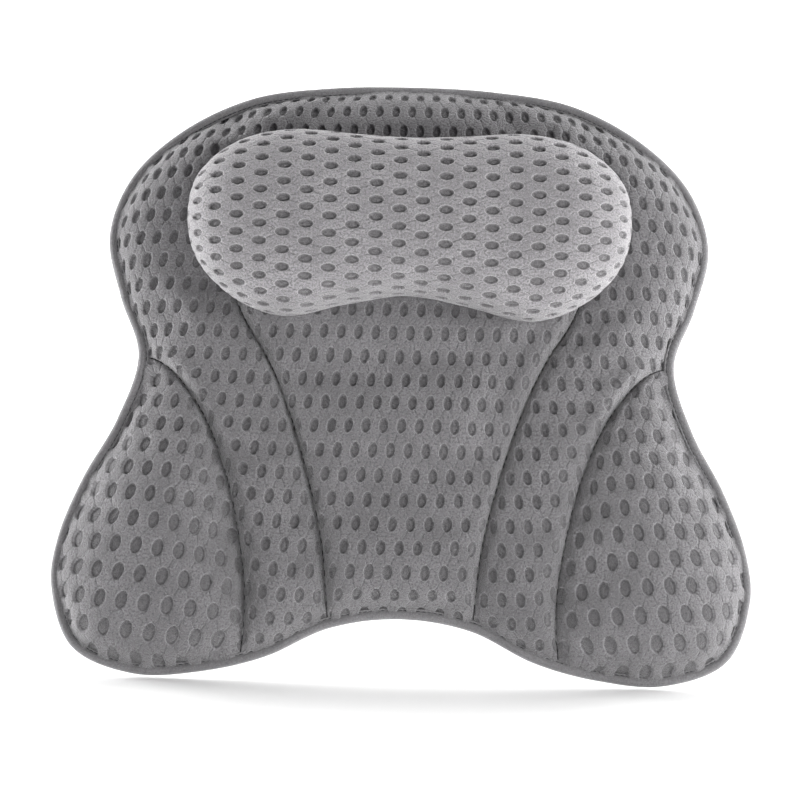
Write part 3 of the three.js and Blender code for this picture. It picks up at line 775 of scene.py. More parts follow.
@dataclass(frozen=True)
class FoamFinish:
    """Open-cell foam, or wadding.

    Attributes:
        name: the material's name.
        colour: of the foam.
        cell: size of its cells.
        cloud: size of its lighter and darker patches.
        relief: depth of the cells.
    """

    name: str
    colour: Colour
    cell: float = 0.0014
    cloud: float = 0.05
    relief: float = 0.0005

    def material(self, groups: Groups) -> bpy.types.Material:
        """Builds the material."""
        made, graph, shader = new_finish(self.name)
        tint = partial(tinted, self.colour)
        cells, _, cloud = groups.brushed(graph, graph.coords(), self.cell, self.cloud)
        face = graph.blend(cloud, tint(0.93), self.colour)
        face = graph.blend(graph.times(cells, 0.6), tint(0.6), face)
        normal = graph.bump(cells, 0.7, self.relief)
        graph.feed_all(shader, {"Base Color": face, "Normal": normal, "Roughness": 0.95})
        return made


class Gloss(Enum):
    """How a moulded plastic shines."""

    SATIN = 0.42
    POLISHED = 0.1


@dataclass(frozen=True)
class MouldedFinish:
    """Moulded plastic with faint flow marks, clear where its transmission is high.

    Attributes:
        name: the material's name.
        colour: of the plastic.
        gloss: how it shines.
        transmission: share of the light that goes through it.
        marks: size of the flow marks.
        relief: depth of the flow marks.
    """

    name: str
    colour: Colour
    gloss: Gloss
    transmission: float = 0.0
    marks: float = 0.012
    relief: float = 0.0001

    def material(self, groups: Groups) -> bpy.types.Material:
        """Builds the material."""
        made, graph, shader = new_finish(self.name)
        _, _, marks = groups.brushed(graph, graph.coords(), self.marks, self.marks)
        graph.feed_all(shader, {
            "Base Color": graph.blend(marks, tinted(self.colour, 0.94), self.colour),
            "Roughness": graph.math("MULTIPLY_ADD", marks, 0.12, self.gloss.value),
            "Normal": graph.bump(marks, 0.1, self.relief),
            "Transmission Weight": self.transmission,
            "IOR": 1.5,
        })
        return made


# The panel's plan and its padded sections


@dataclass(frozen=True)
class Crown:
    """How a section of the panel rises to its crown.

    Attributes:
        lift: of its crown above the panel's.
        edge_roll: over this distance it rises from the outline.
        outer_roll: the same from the wings' seams.
        outer_fullness: how round that rise is. 1 is a straight slope, 2 a quarter of an ellipse.
        inner_roll: the same from the centre section's seam.
        inner_fullness: how round that rise is.
    """

    lift: float
    edge_roll: float
    outer_roll: float
    outer_fullness: float
    inner_roll: float
    inner_fullness: float


ARCH_CROWN = Crown(lift=0.0, edge_roll=0.03, outer_roll=0.011, outer_fullness=2.3,
                   inner_roll=0.03, inner_fullness=1.75)
CENTRE_CROWN = replace(ARCH_CROWN, inner_roll=0.011, inner_fullness=2.3)
WING_CROWN = Crown(lift=0.0075, edge_roll=0.05, outer_roll=0.052, outer_fullness=1.7,
                   inner_roll=0.011, inner_fullness=2.3)


@dataclass
class Plan:
    """Outline, seams and height of the padded panel, seen straight on.

    Attributes:
        width: over the two wings.
        height: from the lowest point of the wings to the top.
        inset: from the outline to the edge of the cloth, inside the binding.
        flange: from the outline to where the padding starts to rise.
        flange_front: height of the flat cloth there, off the wall.
        crown: height of the padded front off the wall.
        edge_roll: over this distance the front rises from the flange, where two sections meet.
        edge_fullness: how round that rise is.
        outer_dip: how far the front lies lower at the wings' seams.
        inner_dip: the same at the centre section's seam.
        seam_gap: between the covers at a seam.
        groove: how far a cover is drawn down, at a seam itself.
        groove_roll: over this distance.
        groove_start: from the outline to where a seam starts to draw the covers down.
        groove_full: the same to where it does so fully.
        outline_shares: right half of the outline, from the top to the middle of the lower edge, as shares
            of half the width and of the height.
        waist_share: where the outer seam starts, as a share of the way along these points.
        outer_foot_share: the same for the outer seam's foot.
        inner_foot_share: the same for the inner seam's foot.
        outer_seam_shares: the right outer seam between its ends, from its foot up.
        inner_seam_shares: right half of the inner seam, from its foot up to the middle of its top.
        inner_waist_share: the place on the inner seam level with the waist.
        corner_share: height of the centre section's upper corners, as a share of the panel's height.
        steps: of a line, from point to point.
        rim_points: points of the outline that distances are measured from.
        outer_points: the same of an outer seam.
        inner_points: the same of the inner seam.
    """

    width: float = 0.42
    height: float = 0.366
    inset: float = 0.0015
    flange: float = 0.0068
    flange_front: float = 0.0183
    crown: float = 0.0375
    edge_roll: float = 0.03
    edge_fullness: float = 1.8
    outer_dip: float = 0.0108
    inner_dip: float = 0.0095
    seam_gap: float = 0.0006
    groove: float = 0.0038
    groove_roll: float = 0.0055
    groove_start: float = 0.006
    groove_full: float = 0.018
    outline_shares: tuple = (
        (0, 0.505), (0.24, 0.5), (0.465, 0.479), (0.667, 0.42), (0.81, 0.338), (0.868, 0.24),
        (0.83, 0.138), (0.773, 0.041), (0.828, -0.068), (0.92, -0.167), (0.986, -0.267), (1, -0.345),
        (0.935, -0.446), (0.76, -0.487), (0.565, -0.481), (0.385, -0.455), (0.2, -0.405), (0, -0.388),
    )
    waist_share: float = 0.412
    outer_foot_share: float = 0.86
    inner_foot_share: float = 0.94
    outer_seam_shares: tuple = (
        (0.443, -0.369), (0.469, -0.25), (0.516, -0.143), (0.59, -0.048), (0.689, 0.021),
    )
    inner_seam_shares: tuple = (
        (0.229, -0.27), (0.277, -0.153), (0.345, -0.032), (0.41, 0.048), (0.475, 0.109), (0.505, 0.17),
        (0.45, 0.225), (0.27, 0.245), (0, 0.25),
    )
    inner_waist_share: float = 0.467
    corner_share: float = 0.225
    steps: int = 40
    rim_points: int = 500
    outer_points: int = 120
    inner_points: int = 200

    def __post_init__(self) -> None:
        """Draws the lines."""
        right = self.on_panel(self.outline_shares)
        points = np.vstack([right, mirrored(right[1:-1])[::-1]])
        self.spans = len(right) - 1
        stations = np.arange(len(points) * self.steps) / self.steps
        self.outline = curve_at(points, stations, closed=True)
        self.cloth = sidestep(self.outline, -self.inset, closed=True)
        self.rim = along(looped(self.outline), self.rim_points)
        outer = [self.edge_point(self.outer_foot_share), *self.on_panel(self.outer_seam_shares),
                 self.edge_point(self.waist_share)]
        self.outer_seam = self.drawn(np.array(outer), 0.0, 1.0)
        half = [self.edge_point(self.inner_foot_share), *self.on_panel(self.inner_seam_shares)]
        inner = both_halves(np.array(half))
        waist = self.inner_waist_share / 2
        self.inner_leg = self.drawn(inner, 0.0, waist)
        self.inner_top = self.drawn(inner, waist, 0.5)
        inner_seam = both_halves(np.vstack([self.inner_leg, self.inner_top[1:]]))
        self.outer_seams = [along(line, self.outer_points)
                            for line in (self.outer_seam, mirrored(self.outer_seam))]
        self.inner_seams = [along(inner_seam, self.inner_points)]

    def on_panel(self, shares: tuple) -> Points:
        """Points of the panel from shares of half its width and of its height."""
        return np.array(shares, float) * np.array([self.width / 2, self.height])

    def drawn(self, points: Points, start: float, end: float) -> Points:
        """A stretch of the smooth line through points, between two shares of the way along them."""
        spans = len(points) - 1
        count = round((end - start) * spans * self.steps) + 1
        return curve_at(points, np.linspace(start * spans, end * spans, count), closed=False)

    def edge_stretch(self, start: float, end: float) -> Points:
        """The edge of the cloth between two shares of the way down the right half."""
        first, after = (share * self.spans * self.steps for share in (start, end))
        places = np.linspace(first, after, round(abs(after - first)) + 2)
        return between(places, np.arange(len(self.cloth)), self.cloth)

    def edge_point(self, share: float) -> Points:
        """A point on the edge of the cloth."""
        return self.edge_stretch(share, share)[0]

    def seam_distance(self, points: Points) -> Points:
        """How far points lie from the nearest seam."""
        return distance_to_any(self.outer_seams + self.inner_seams, points)

    def heights(self, points: Points, crown: Crown) -> Points:
        """Height of the padded front off the wall, before it is filled.

        Args:
            points: places in the panel's plane.
            crown: of the section that they lie on.

        Returns:
            One height for each.
        """
        outer = distance_to_any(self.outer_seams, points)
        inner = distance_to_any(self.inner_seams, points)
        own = smoothstep(outer, 0.0, crown.outer_roll)
        roll = self.edge_roll + (crown.edge_roll - self.edge_roll) * own
        from_edge = rise(distance_to(self.rim, points) - self.flange, roll, self.edge_fullness)
        outer_dip = self.outer_dip + crown.lift
        outer_dip = outer_dip * (1 - rise(outer, crown.outer_roll, crown.outer_fullness))
        inner_dip = self.inner_dip * (1 - rise(inner, crown.inner_roll, crown.inner_fullness))
        top = self.crown + crown.lift - np.maximum(outer_dip, inner_dip)
        return self.flange_front + from_edge * (top - self.flange_front)

    def drawn_in(self, points: Points, seam_distance: Points) -> Points:
        """How far the seams draw the covers down at points of the panel."""
        at_edge = smoothstep(distance_to(self.rim, points), self.groove_start, self.groove_full)
        return self.groove * (1 - rise(seam_distance, self.groove_roll)) * at_edge


def coons(near: Points, far: Points, start: Points, end: Points) -> Points:
    """A grid of points inside four lines that meet at their ends.

    Args:
        near: the first column.
        far: the last column.
        start: the first row.
        end: the last row.

    Returns:
        The points, by row and column.
    """
    s = np.linspace(0, 1, len(near))[:, None, None]
    t = np.linspace(0, 1, len(start))[None, :, None]
    ruled = (1 - t) * near[:, None] + t * far[:, None] + (1 - s) * start[None] + s * end[None]
    corners = (1 - s) * ((1 - t) * start[0] + t * start[-1]) + s * ((1 - t) * end[0] + t * end[-1])
    return ruled - corners


def unrolled(plan: Points, heights: Points) -> Points:
    """The flat cloth over a grid of the panel's points, with what it needs to roll down at its sides.

    Args:
        plan: the points, by row and column.
        heights: their heights.

    Returns:
        The points of the flat cloth, by row and column.
    """
    flat = plan.copy()
    for axis in (0, 1):
        level = np.linalg.norm(np.diff(plan, axis=axis), axis=2)
        spare = np.hypot(level, np.diff(heights, axis=axis)) - level
        start = np.zeros_like(np.take(spare, [0], axis=axis))
        spare = np.concatenate([start, np.cumsum(spare, axis=axis)], axis=axis)
        middle = plan.shape[axis] // 2
        spare = spare - np.take(spare, [middle], axis=axis)
        heading = np.gradient(plan, axis=axis)
        size = np.linalg.norm(heading, axis=2, keepdims=True)
        flat += spare[:, :, None] * heading / np.maximum(size, 1e-9)
    return flat


def cut_flat(loop: Points, cell: float, holes: tuple = ()) -> tuple[Points, list, list]:
    """Even faces inside a closed line.

    Args:
        loop: the line's points, anticlockwise.
        cell: size of a face.
        holes: closed lines that are left open.

    Returns:
        The points, the faces, and for each point the number of the line's point that it is, or -1.
    """
    low, high = loop.min(0), loop.max(0)
    x = np.arange(round(low[0] / cell), high[0] / cell) * cell
    y = np.arange(round(low[1] / cell), high[1] / cell) * cell
    grid = np.stack(np.meshgrid(x, y), -1).reshape(-1, 2)
    grid = grid[inside(loop, grid)]
    edges, lines, count = [], [], 0
    for line in (loop, *holes):
        grid = grid[distance_to(looped(line), grid) > 0.6 * cell]
        edges += [(count + i, count + (i + 1) % len(line)) for i in range(len(line))]
        lines.append(line)
        count += len(line)
    for hole in holes:
        grid = grid[~inside(hole, grid)]
    points = [Vector(p) for p in np.vstack([*lines, grid])]
    cut = delaunay_2d_cdt(points, edges, [], 4, 1e-7)
    number = [min([k for k in sources if k < count], default=-1) for sources in cut[3]]
    return np.array([tuple(p) for p in cut[0]]), cut[2], number


def draw_quads(piece: bpy.types.Object) -> None:
    """Joins a mesh's triangles into quads."""
    pick(piece)
    bpy.ops.object.mode_set(mode="EDIT")
    bpy.ops.mesh.select_all(action="SELECT")
    bpy.ops.mesh.tris_convert_to_quads(face_threshold=math.radians(50), shape_threshold=math.radians(50))
    bpy.ops.object.mode_set(mode="OBJECT")


def lay_uv(mesh: bpy.types.Mesh, flat: Points) -> None:
    """Gives a mesh its flat cloth as the UV map of the finishes."""
    corner = read(mesh.loops, "vertex_index", kind=int)
    layer = mesh.uv_layers.get("cloth") or mesh.uv_layers.new(name="cloth")
    layer.data.foreach_set("uv", flat[corner].ravel())


def flat_of(mesh: bpy.types.Mesh) -> Points:
    """The places of a mesh's vertices on the flat cloth."""
    flat = np.zeros((len(mesh.vertices), 2))
    flat[read(mesh.loops, "vertex_index", kind=int)] = read(mesh.uv_layers["cloth"].data, "uv", 2)
    return flat


def border_mask(mesh: bpy.types.Mesh) -> Points:
    """Which vertices of a mesh lie on its border."""
    used = read(mesh.loops, "edge_index", kind=int)
    open_edges = np.bincount(used, minlength=len(mesh.edges)) == 1
    mask = np.zeros(len(mesh.vertices), bool)
    mask[read(mesh.edges, "vertices", 2, int)[open_edges]] = True
    return mask


def slide(mesh: bpy.types.Mesh, points: Points, flat: Points, move: Points) -> Points:
    """Slides a cloth's vertices along its surface.

    Args:
        mesh: the cloth, for its edges.
        points: its vertices.
        flat: their places on the flat cloth.
        move: how far each one slides there.

    Returns:
        The vertices, slid.
    """
    a, b = read(mesh.edges, "vertices", 2, int).T
    step_flat, step_solid = flat[b] - flat[a], points[b] - points[a]
    count = len(points)

    def summed(values: Points) -> Points:
        """The values of the edges at each vertex, summed."""
        return np.bincount(a, values, count) + np.bincount(b, values, count)

    square = np.empty((count, 2, 2))
    mixed = np.empty((count, 3, 2))
    for j in range(2):
        for i in range(2):
            square[:, i, j] = summed(step_flat[:, i] * step_flat[:, j])
        for i in range(3):
            mixed[:, i, j] = summed(step_solid[:, i] * step_flat[:, j])
    square += 1e-12 * np.eye(2)
    frames = mixed @ np.linalg.inv(square)
    return points + np.einsum("nij,nj->ni", frames, move)


@dataclass
class Form:
    """A stuffed form and the flat cloth that covers it.

    Attributes:
        flat: points of the flat cloth.
        solid: the same points on the form.
        triangles: the triangles that join them.
        sides: the cloth's sides in order, anticlockwise, as numbers of points.
    """

    flat: Points
    solid: Points
    triangles: list
    sides: list

    @classmethod
    def from_grid(cls, flat: Points, solid: Points, corners: tuple = ()) -> "Form":
        """A form over a grid whose rows run anticlockwise up its far side.

        Args:
            flat: points of the flat cloth, by row and column.
            solid: the same points on the form.
            corners: rows at which the far side has a corner.

        Returns:
            The form.
        """
        rows, columns = flat.shape[:2]
        at = np.arange(rows * columns).reshape(rows, columns)
        a, b, c, d = at[:-1, :-1], at[:-1, 1:], at[1:, 1:], at[1:, :-1]
        triangles = [*np.stack([a, b, c], -1).reshape(-1, 3), *np.stack([a, c, d], -1).reshape(-1, 3)]
        far = [0, *corners, rows - 1]
        sides = [at[0, :], *(at[i:j + 1, -1] for i, j in zip(far[:-1], far[1:])), at[-1, ::-1], at[::-1, 0]]
        return cls(flat.reshape(-1, 2), solid.reshape(-1, 3), triangles, sides)

    @classmethod
    def from_rings(cls, flat: Points, solid: Points) -> "Form":
        """A form from rings that close on themselves, from its ridge outwards."""
        rings, rays = flat.shape[:2]
        at = np.arange(rings * rays).reshape(rings, rays)
        after = np.roll(at, -1, axis=1)
        a, b, c, d = at[:-1], at[1:], after[1:], after[:-1]
        triangles = [*np.stack([a, b, c], -1).reshape(-1, 3), *np.stack([a, c, d], -1).reshape(-1, 3)]
        loop = np.array([*at[-1], at[-1][0]])
        return cls(flat.reshape(-1, 2), solid.reshape(-1, 3), triangles, [loop])

    def drape(self, points: Points) -> Points:
        """Where points of the flat cloth lie on the form."""
        flat = np.column_stack([self.flat, np.zeros(len(self.flat))])
        corners = flat[np.array(self.triangles)]
        first, second = corners[:, 1] - corners[:, 0], corners[:, 2] - corners[:, 0]
        areas = np.linalg.norm(np.cross(first, second), axis=1)
        kept = [triangle for triangle, area in zip(self.triangles, areas) if area > 1e-12]
        tree = BVHTree.FromPolygons([tuple(p) for p in flat], [tuple(int(i) for i in t) for t in kept])
        draped = []
        for x, y in points:
            place, _, index, _ = tree.find_nearest((x, y, 0.0))
            here = [Vector(flat[i]) for i in kept[index]]
            there = [Vector(self.solid[i]) for i in kept[index]]
            draped.append(barycentric_transform(place, *here, *there))
        return np.array(draped)


@dataclass
class Fold:
    """A soft fold pressed across a cushion.

    Attributes:
        place: its middle, in the panel's plane.
        reach: half its length.
        spread: half its width.
        depth: how deep it is. A negative one is a swell.
        slope: its rise for each metre to the right.
    """

    place: tuple[float, float]
    reach: float
    spread: float
    depth: float
    slope: float = 0.0

    def sink(self, points: Points) -> Points:
        """How far it lowers points of the panel."""
        x, y = points[:, 0] - self.place[0], points[:, 1] - self.place[1]
        across = (y - self.slope * x) / self.spread
        return self.depth * np.exp(-(across**2)) * np.exp(-((x / self.reach) ** 4))


@dataclass
class Section:
    """A padded section: cloth cut flat, laid over its form, filled by a cloth simulation, and quilted.

    Attributes:
        name: of the piece.
        form: the stuffed form.
        lattice: the cloth's dimples.
        back: height off the wall at which its padding ends.
        plan: the panel's plan, where the section is part of the panel.
        cell: side of the cloth's faces before they are subdivided.
        levels: how often they are subdivided.
        cloth: thickness of the cloth.
        pinch: share of that thickness that is left where it is sewn.
        pressure: of the filling.
        swell: the furthest that the filling may push the cloth.
        slack: extra cloth, as a share of its length.
        folds: folds that are pressed into it.
        sim_steps: steps of the cloth simulation.
        bare: from a seam to where the dimples start.
        dimpled: the same to where they are full.
        snap_share: the furthest a point moves onto a dimple's rim, of a face's side.
    """

    name: str
    form: Form
    lattice: Lattice
    back: float
    plan: Plan | None = None
    cell: float = 0.005
    levels: int = 3
    cloth: float = 0.0024
    pinch: float = 0.4
    pressure: float = 4.0
    swell: float = 0.003
    slack: float = 0.02
    folds: tuple = ()
    sim_steps: int = 20
    bare: float = 0.0003
    dimpled: float = 0.003
    snap_share: float = 0.55
    piece: bpy.types.Object = field(init=False, default=None)
    coarse: Points = field(init=False, default=None)
    faces: list = field(init=False, default=None)
    edge: Points = field(init=False, default=None)

    def cut(self) -> None:
        """Cuts the cloth flat into even faces and lays it over the form."""
        border, laid = [], []
        for side in self.form.sides:
            reach = lengths(self.form.flat[side])
            if reach[-1] < self.cell / 4:
                continue
            wanted = np.linspace(0, reach[-1], max(2, round(reach[-1] / self.cell)) + 1)[:-1]
            border.append(between(wanted, reach, self.form.flat[side]))
            laid.append(between(wanted, reach, self.form.solid[side]))
        loop, laid = np.vstack(border), np.vstack(laid)
        flat, faces, number = cut_flat(loop, self.cell)
        piece = mesh_object(self.name, np.column_stack([flat, np.zeros(len(flat))]), faces)
        draw_quads(piece)
        self.faces = faces_of(piece.data)
        solid = self.form.drape(flat)
        for i, on_border in enumerate(number):
            if on_border >= 0:
                solid[i] = laid[on_border]
        lay_uv(piece.data, flat)
        self.edge = distance_to(looped(loop), flat)
        move_to(piece.data, solid)
        self.piece, self.coarse = piece, solid

    def fill(self) -> None:
        """Pushes the cloth outwards by a cloth simulation, whose moves are capped."""
        bottom = self.coarse.copy()
        bottom[:, 2] = self.back
        body = mesh_object(self.name + "_filled", *slab(self.coarse, self.faces, bottom))
        count = len(self.coarse)
        held = body.vertex_groups.new(name="held")
        held.add([int(i) for i in np.flatnonzero(self.edge < ON_BORDER)], 1.0, "REPLACE")
        held.add(range(count, 2 * count), 1.0, "REPLACE")
        cloth = body.modifiers.new("Cloth", "CLOTH")
        cloth.settings.quality = 6
        cloth.settings.mass = 0.3
        cloth.settings.tension_stiffness = 25
        cloth.settings.compression_stiffness = 25
        cloth.settings.shear_stiffness = 15
        cloth.settings.bending_stiffness = 4
        cloth.settings.shrink_min = -self.slack
        cloth.settings.use_pressure = True
        cloth.settings.uniform_pressure_force = self.pressure
        cloth.settings.vertex_group_mass = "held"
        cloth.settings.effector_weights.gravity = 0
        cloth.collision_settings.use_collision = False
        scene = bpy.context.scene
        for step in range(1, self.sim_steps + 1):
            scene.frame_set(step)
        pick(body)
        bpy.ops.object.modifier_apply(modifier="Cloth")
        move = coordinates(body.data)[:count] - self.coarse
        bpy.data.objects.remove(body)
        scene.frame_set(1)
        size = np.linalg.norm(move, axis=1, keepdims=True)
        log.info("%s: filled, by %.1f mm at most before the cap", self.name, size.max() * 1000)
        capped = move * self.swell * np.tanh(size / self.swell) / np.maximum(size, 1e-9)
        self.coarse = self.coarse + capped

    def quilt(self) -> None:
        """Subdivides the cloth, and sinks its folds, its seams and its dimples."""
        for fold in self.folds:
            self.coarse[:, 2] -= fold.sink(self.coarse[:, :2])
        move_to(self.piece.data, self.coarse)
        subdivide(self.piece, self.levels, boundary_smooth="PRESERVE_CORNERS")
        mesh = self.piece.data
        points = coordinates(mesh)
        shown = np.ones(len(points))
        if self.plan:
            from_seam = self.plan.seam_distance(points[:, :2])
            points[:, 2] -= self.plan.drawn_in(points[:, :2], from_seam)
            shown = smoothstep(from_seam, self.bare, self.dimpled)
        move_to(mesh, points)
        facing = normals(mesh)
        flat = flat_of(mesh)
        move = self.lattice.snap(flat, self.snap_share * self.cell / 2**self.levels)
        move[border_mask(mesh)] = 0.0
        points = slide(mesh, points, flat, move)
        flat = flat + move
        lay_uv(mesh, flat)
        places = self.lattice.places(flat)
        move_to(mesh, points - (shown * self.lattice.sink(places))[:, None] * facing)
        attribute = mesh.attributes.new("lattice", "FLOAT_VECTOR", "POINT")
        attribute.data.foreach_set("vector", places.ravel())

    def inner_face(self, depth: float) -> Points:
        """The vertices of the surface that lies a depth under the cloth's outer face."""
        probe = mesh_object(self.name + "_probe", self.coarse, self.faces)
        points = self.coarse - depth * normals(probe.data)
        bpy.data.objects.remove(probe)
        if self.plan:
            border = self.edge < ON_BORDER
            points[border] = self.coarse[border]
            plan = self.coarse[border, :2]
            pinched = self.pinch * depth
            points[border, 2] -= pinched + self.plan.drawn_in(plan, self.plan.seam_distance(plan))
        return points

    def line(self) -> None:
        """Gives the cloth its inner face and closes it along its border."""
        points = self.inner_face(self.cloth)
        inner = mesh_object(self.name + "_lining", points, [face[::-1] for face in self.faces])
        lay_uv(inner.data, points[:, :2])
        far = np.tile([0.5, 0.0, 0.0], (len(points), 1))
        inner.data.attributes.new("lattice", "FLOAT_VECTOR", "POINT").data.foreach_set("vector", far.ravel())
        close_shell(self.piece, inner)

    def build(self) -> bpy.types.Object:
        """Makes the section's cloth and returns it."""
        self.cut()
        self.fill()
        self.quilt()
        self.line()
        return self.piece

    def pad(self, name: str, margin: float) -> bpy.types.Object:
        """The foam under the cloth, with a flat back.

        Args:
            name: of the piece.
            margin: from the cloth's border to the foam, along the cloth.

        Returns:
            The foam.
        """
        points = self.inner_face(self.cloth + 3 * CLEARANCE)
        faces = [face for face in self.faces if min(self.edge[i] for i in face) > margin]
        used = sorted({i for face in faces for i in face})
        number = {old: new for new, old in enumerate(used)}
        top = points[used]
        bottom = top.copy()
        bottom[:, 2] = self.back
        return mesh_object(name, *slab(top, [[number[i] for i in face] for face in faces], bottom))

    def wadding(self, name: str) -> bpy.types.Object:
        """A filling that follows all of the cloth, closed by a flat base."""
        points = self.inner_face(self.cloth + 3 * CLEARANCE)
        body = mesh_object(name, points, self.faces)
        bpy.ops.object.mode_set(mode="EDIT")
        bpy.ops.mesh.select_all(action="DESELECT")
        bpy.ops.mesh.select_mode(type="EDGE")
        bpy.ops.mesh.select_non_manifold()
        bpy.ops.mesh.edge_face_add()
        bpy.ops.object.mode_set(mode="OBJECT")
        return body


@dataclass
class Panel:
    """The padded butterfly panel: four covered sections and their foam.

    Attributes:
        groups: the shared node groups.
        plan: its outline and seams.
        lattice: its cloth's dimples.
        centre_skew: skew of the dimples in the centre section.
        right_lattice: the dimples of the right wing's cloth.
        left_tilt: tilt of the rows on the left wing.
        left_through: a place on its flat cloth where a dimple lies.
        colour: of its cloth.
        pad_back: height off the wall of the foam's back.
        pad_margin: from a cover's border to its foam.
        fold_rows: height up the panel, reach and depth of each fold of the centre section.
        fold_spread: half the width of such a fold.
        wrinkle_rows: place in the panel's plane, reach and depth of each wrinkle of the arch.
        wrinkle_spread: half the width of a wrinkle.
        fold_slope: rise of the folds and the wrinkles for each metre to the right.
        leg_rows: rows of points up a leg.
        columns: points across a section.
    """

    groups: Groups
    plan: Plan
    lattice: Lattice = Lattice(pitch=0.01045, rows=0.0142, half_width=0.0027, half_length=0.0044,
                               depth=0.0021, lean=1.1)
    centre_skew: float = 0.07
    right_lattice: Lattice = Lattice(pitch=0.01056, rows=0.01384, half_width=0.0031, half_length=0.0049,
                                     depth=0.0021, spread=1.6, middle=0.08, tilt=math.radians(3.85),
                                     through=(0.1529, -0.0891))
    left_tilt: float = math.radians(-5.6)
    left_through: tuple[float, float] = (-0.1481, -0.0892)
    colour: Colour = (0.205, 0.2, 0.208, 1.0)
    pad_back: float = 0.0221
    pad_margin: float = 0.016
    fold_rows: tuple = (
        (0.011, 0.06, 0.0052), (-0.0256, 0.05, -0.0034),
        (-0.062, 0.042, 0.0052), (-0.0986, 0.036, -0.0034),
    )
    fold_spread: float = 0.0135
    wrinkle_rows: tuple = (
        (-0.152, 0.088, 0.03, 0.002), (-0.146, 0.063, 0.03, 0.0022),
        (0.15, 0.03, 0.032, 0.002), (0.144, 0.012, 0.03, 0.0018),
    )
    wrinkle_spread: float = 0.006
    fold_slope: float = 0.1
    leg_rows: int = 60
    columns: int = 28

    def form(self, grid: Points, crown: Crown, corners: tuple = ()) -> Form:
        """The form over a grid of points of the panel."""
        heights = self.plan.heights(grid.reshape(-1, 2), crown).reshape(grid.shape[:2])
        solid = np.concatenate([grid, heights[:, :, None]], axis=2)
        return Form.from_grid(unrolled(grid, heights), solid, corners)

    def arch_grid(self) -> Points:
        """Points of the arch, from its right foot over the top to its left foot, from inside outwards."""
        plan, gap = self.plan, self.plan.seam_gap / 2
        inner_leg = along(sidestep(plan.inner_leg, -gap), self.leg_rows)
        outer_leg = along(sidestep(plan.outer_seam, gap), self.leg_rows)
        foot = along(plan.edge_stretch(plan.inner_foot_share, plan.outer_foot_share), self.columns)
        foot = foot + np.linspace(inner_leg[0] - foot[0], outer_leg[0] - foot[-1], self.columns)
        waist = np.linspace(inner_leg[-1], outer_leg[-1], self.columns)
        leg = coons(inner_leg, outer_leg, foot, waist)
        inner_top = along(sidestep(plan.inner_top, -gap), self.leg_rows)
        outer_top = along(plan.edge_stretch(plan.waist_share, 0.0), self.leg_rows)
        inner_top[0], outer_top[0] = inner_leg[-1], outer_leg[-1]
        middle = np.linspace(inner_top[-1], outer_top[-1], self.columns)
        top = coons(inner_top, outer_top, waist, middle)
        half = np.concatenate([leg, top[1:]])
        half[-1, :, 0] = 0.0
        return both_halves(half)

    def centre_grid(self) -> Points:
        """Points of the centre section, from its foot up and from left to right."""
        plan = self.plan
        seam = sidestep(np.vstack([plan.inner_leg, plan.inner_top[1:]]), plan.seam_gap / 2)
        corner = int(np.argmax(seam[:, 1] > plan.corner_share * plan.height))
        side = along(seam[:corner + 1], self.leg_rows)
        half_foot = along(plan.edge_stretch(plan.inner_foot_share, 1.0), self.columns)
        half_foot[0] = side[0]
        half_top = along(seam[corner:], self.columns)
        half_top[-1, 0] = half_foot[-1, 0] = 0.0
        foot, top = both_halves(half_foot)[::-1], both_halves(half_top)[::-1]
        return coons(mirrored(side), side, foot, top)

    def wing_grid(self) -> Points:
        """Points of the right wing, from its foot up and from the seam outwards."""
        plan = self.plan
        seam = along(sidestep(plan.outer_seam, -plan.seam_gap / 2), self.leg_rows)
        edge = along(plan.edge_stretch(plan.outer_foot_share, plan.waist_share), self.leg_rows)
        start = np.linspace(seam[0], edge[0], self.columns)
        end = np.linspace(seam[-1], edge[-1], self.columns)
        return coons(seam, edge, start, end)

    def build(self) -> None:
        """Makes the four sections with their foam."""
        finish = MeshFinish("panel_mesh", self.colour, self.lattice).material(self.groups)
        foam = FoamFinish("pad_foam", (0.8, 0.77, 0.7, 1.0)).material(self.groups)
        wing = self.wing_grid()
        left_wing = mirrored(wing)[:, ::-1]
        arch = self.arch_grid()
        corners = (self.leg_rows - 1, len(arch) - self.leg_rows)
        folds = [Fold((0.0, y), reach, self.fold_spread, depth, self.fold_slope)
                 for y, reach, depth in self.fold_rows]
        wrinkles = [Fold((x, y), reach, self.wrinkle_spread, depth, self.fold_slope)
                    for x, y, reach, depth in self.wrinkle_rows]
        centre_lattice = replace(self.lattice, skew=self.centre_skew)
        left_lattice = replace(self.right_lattice, tilt=self.left_tilt, middle=-self.right_lattice.middle,
                               through=self.left_through)
        sections = (
            ("arch", self.form(arch, ARCH_CROWN, corners), self.lattice, wrinkles),
            ("centre", self.form(self.centre_grid(), CENTRE_CROWN), centre_lattice, folds),
            ("right_wing", self.form(wing, WING_CROWN), self.right_lattice, ()),
            ("left_wing", self.form(left_wing, WING_CROWN), left_lattice, ()),
        )
        for name, form, lattice, pressed in sections:
            section = Section(name + "_cloth", form, lattice, self.pad_back, self.plan,
                              folds=tuple(pressed))
            cover = section.build()
            hand_over(cover, PILLOW, [name + "_cover"], finish)
            pad = section.pad(name + "_foam", self.pad_margin)
            hand_over(pad, PILLOW, [name + "_pad"], foam)


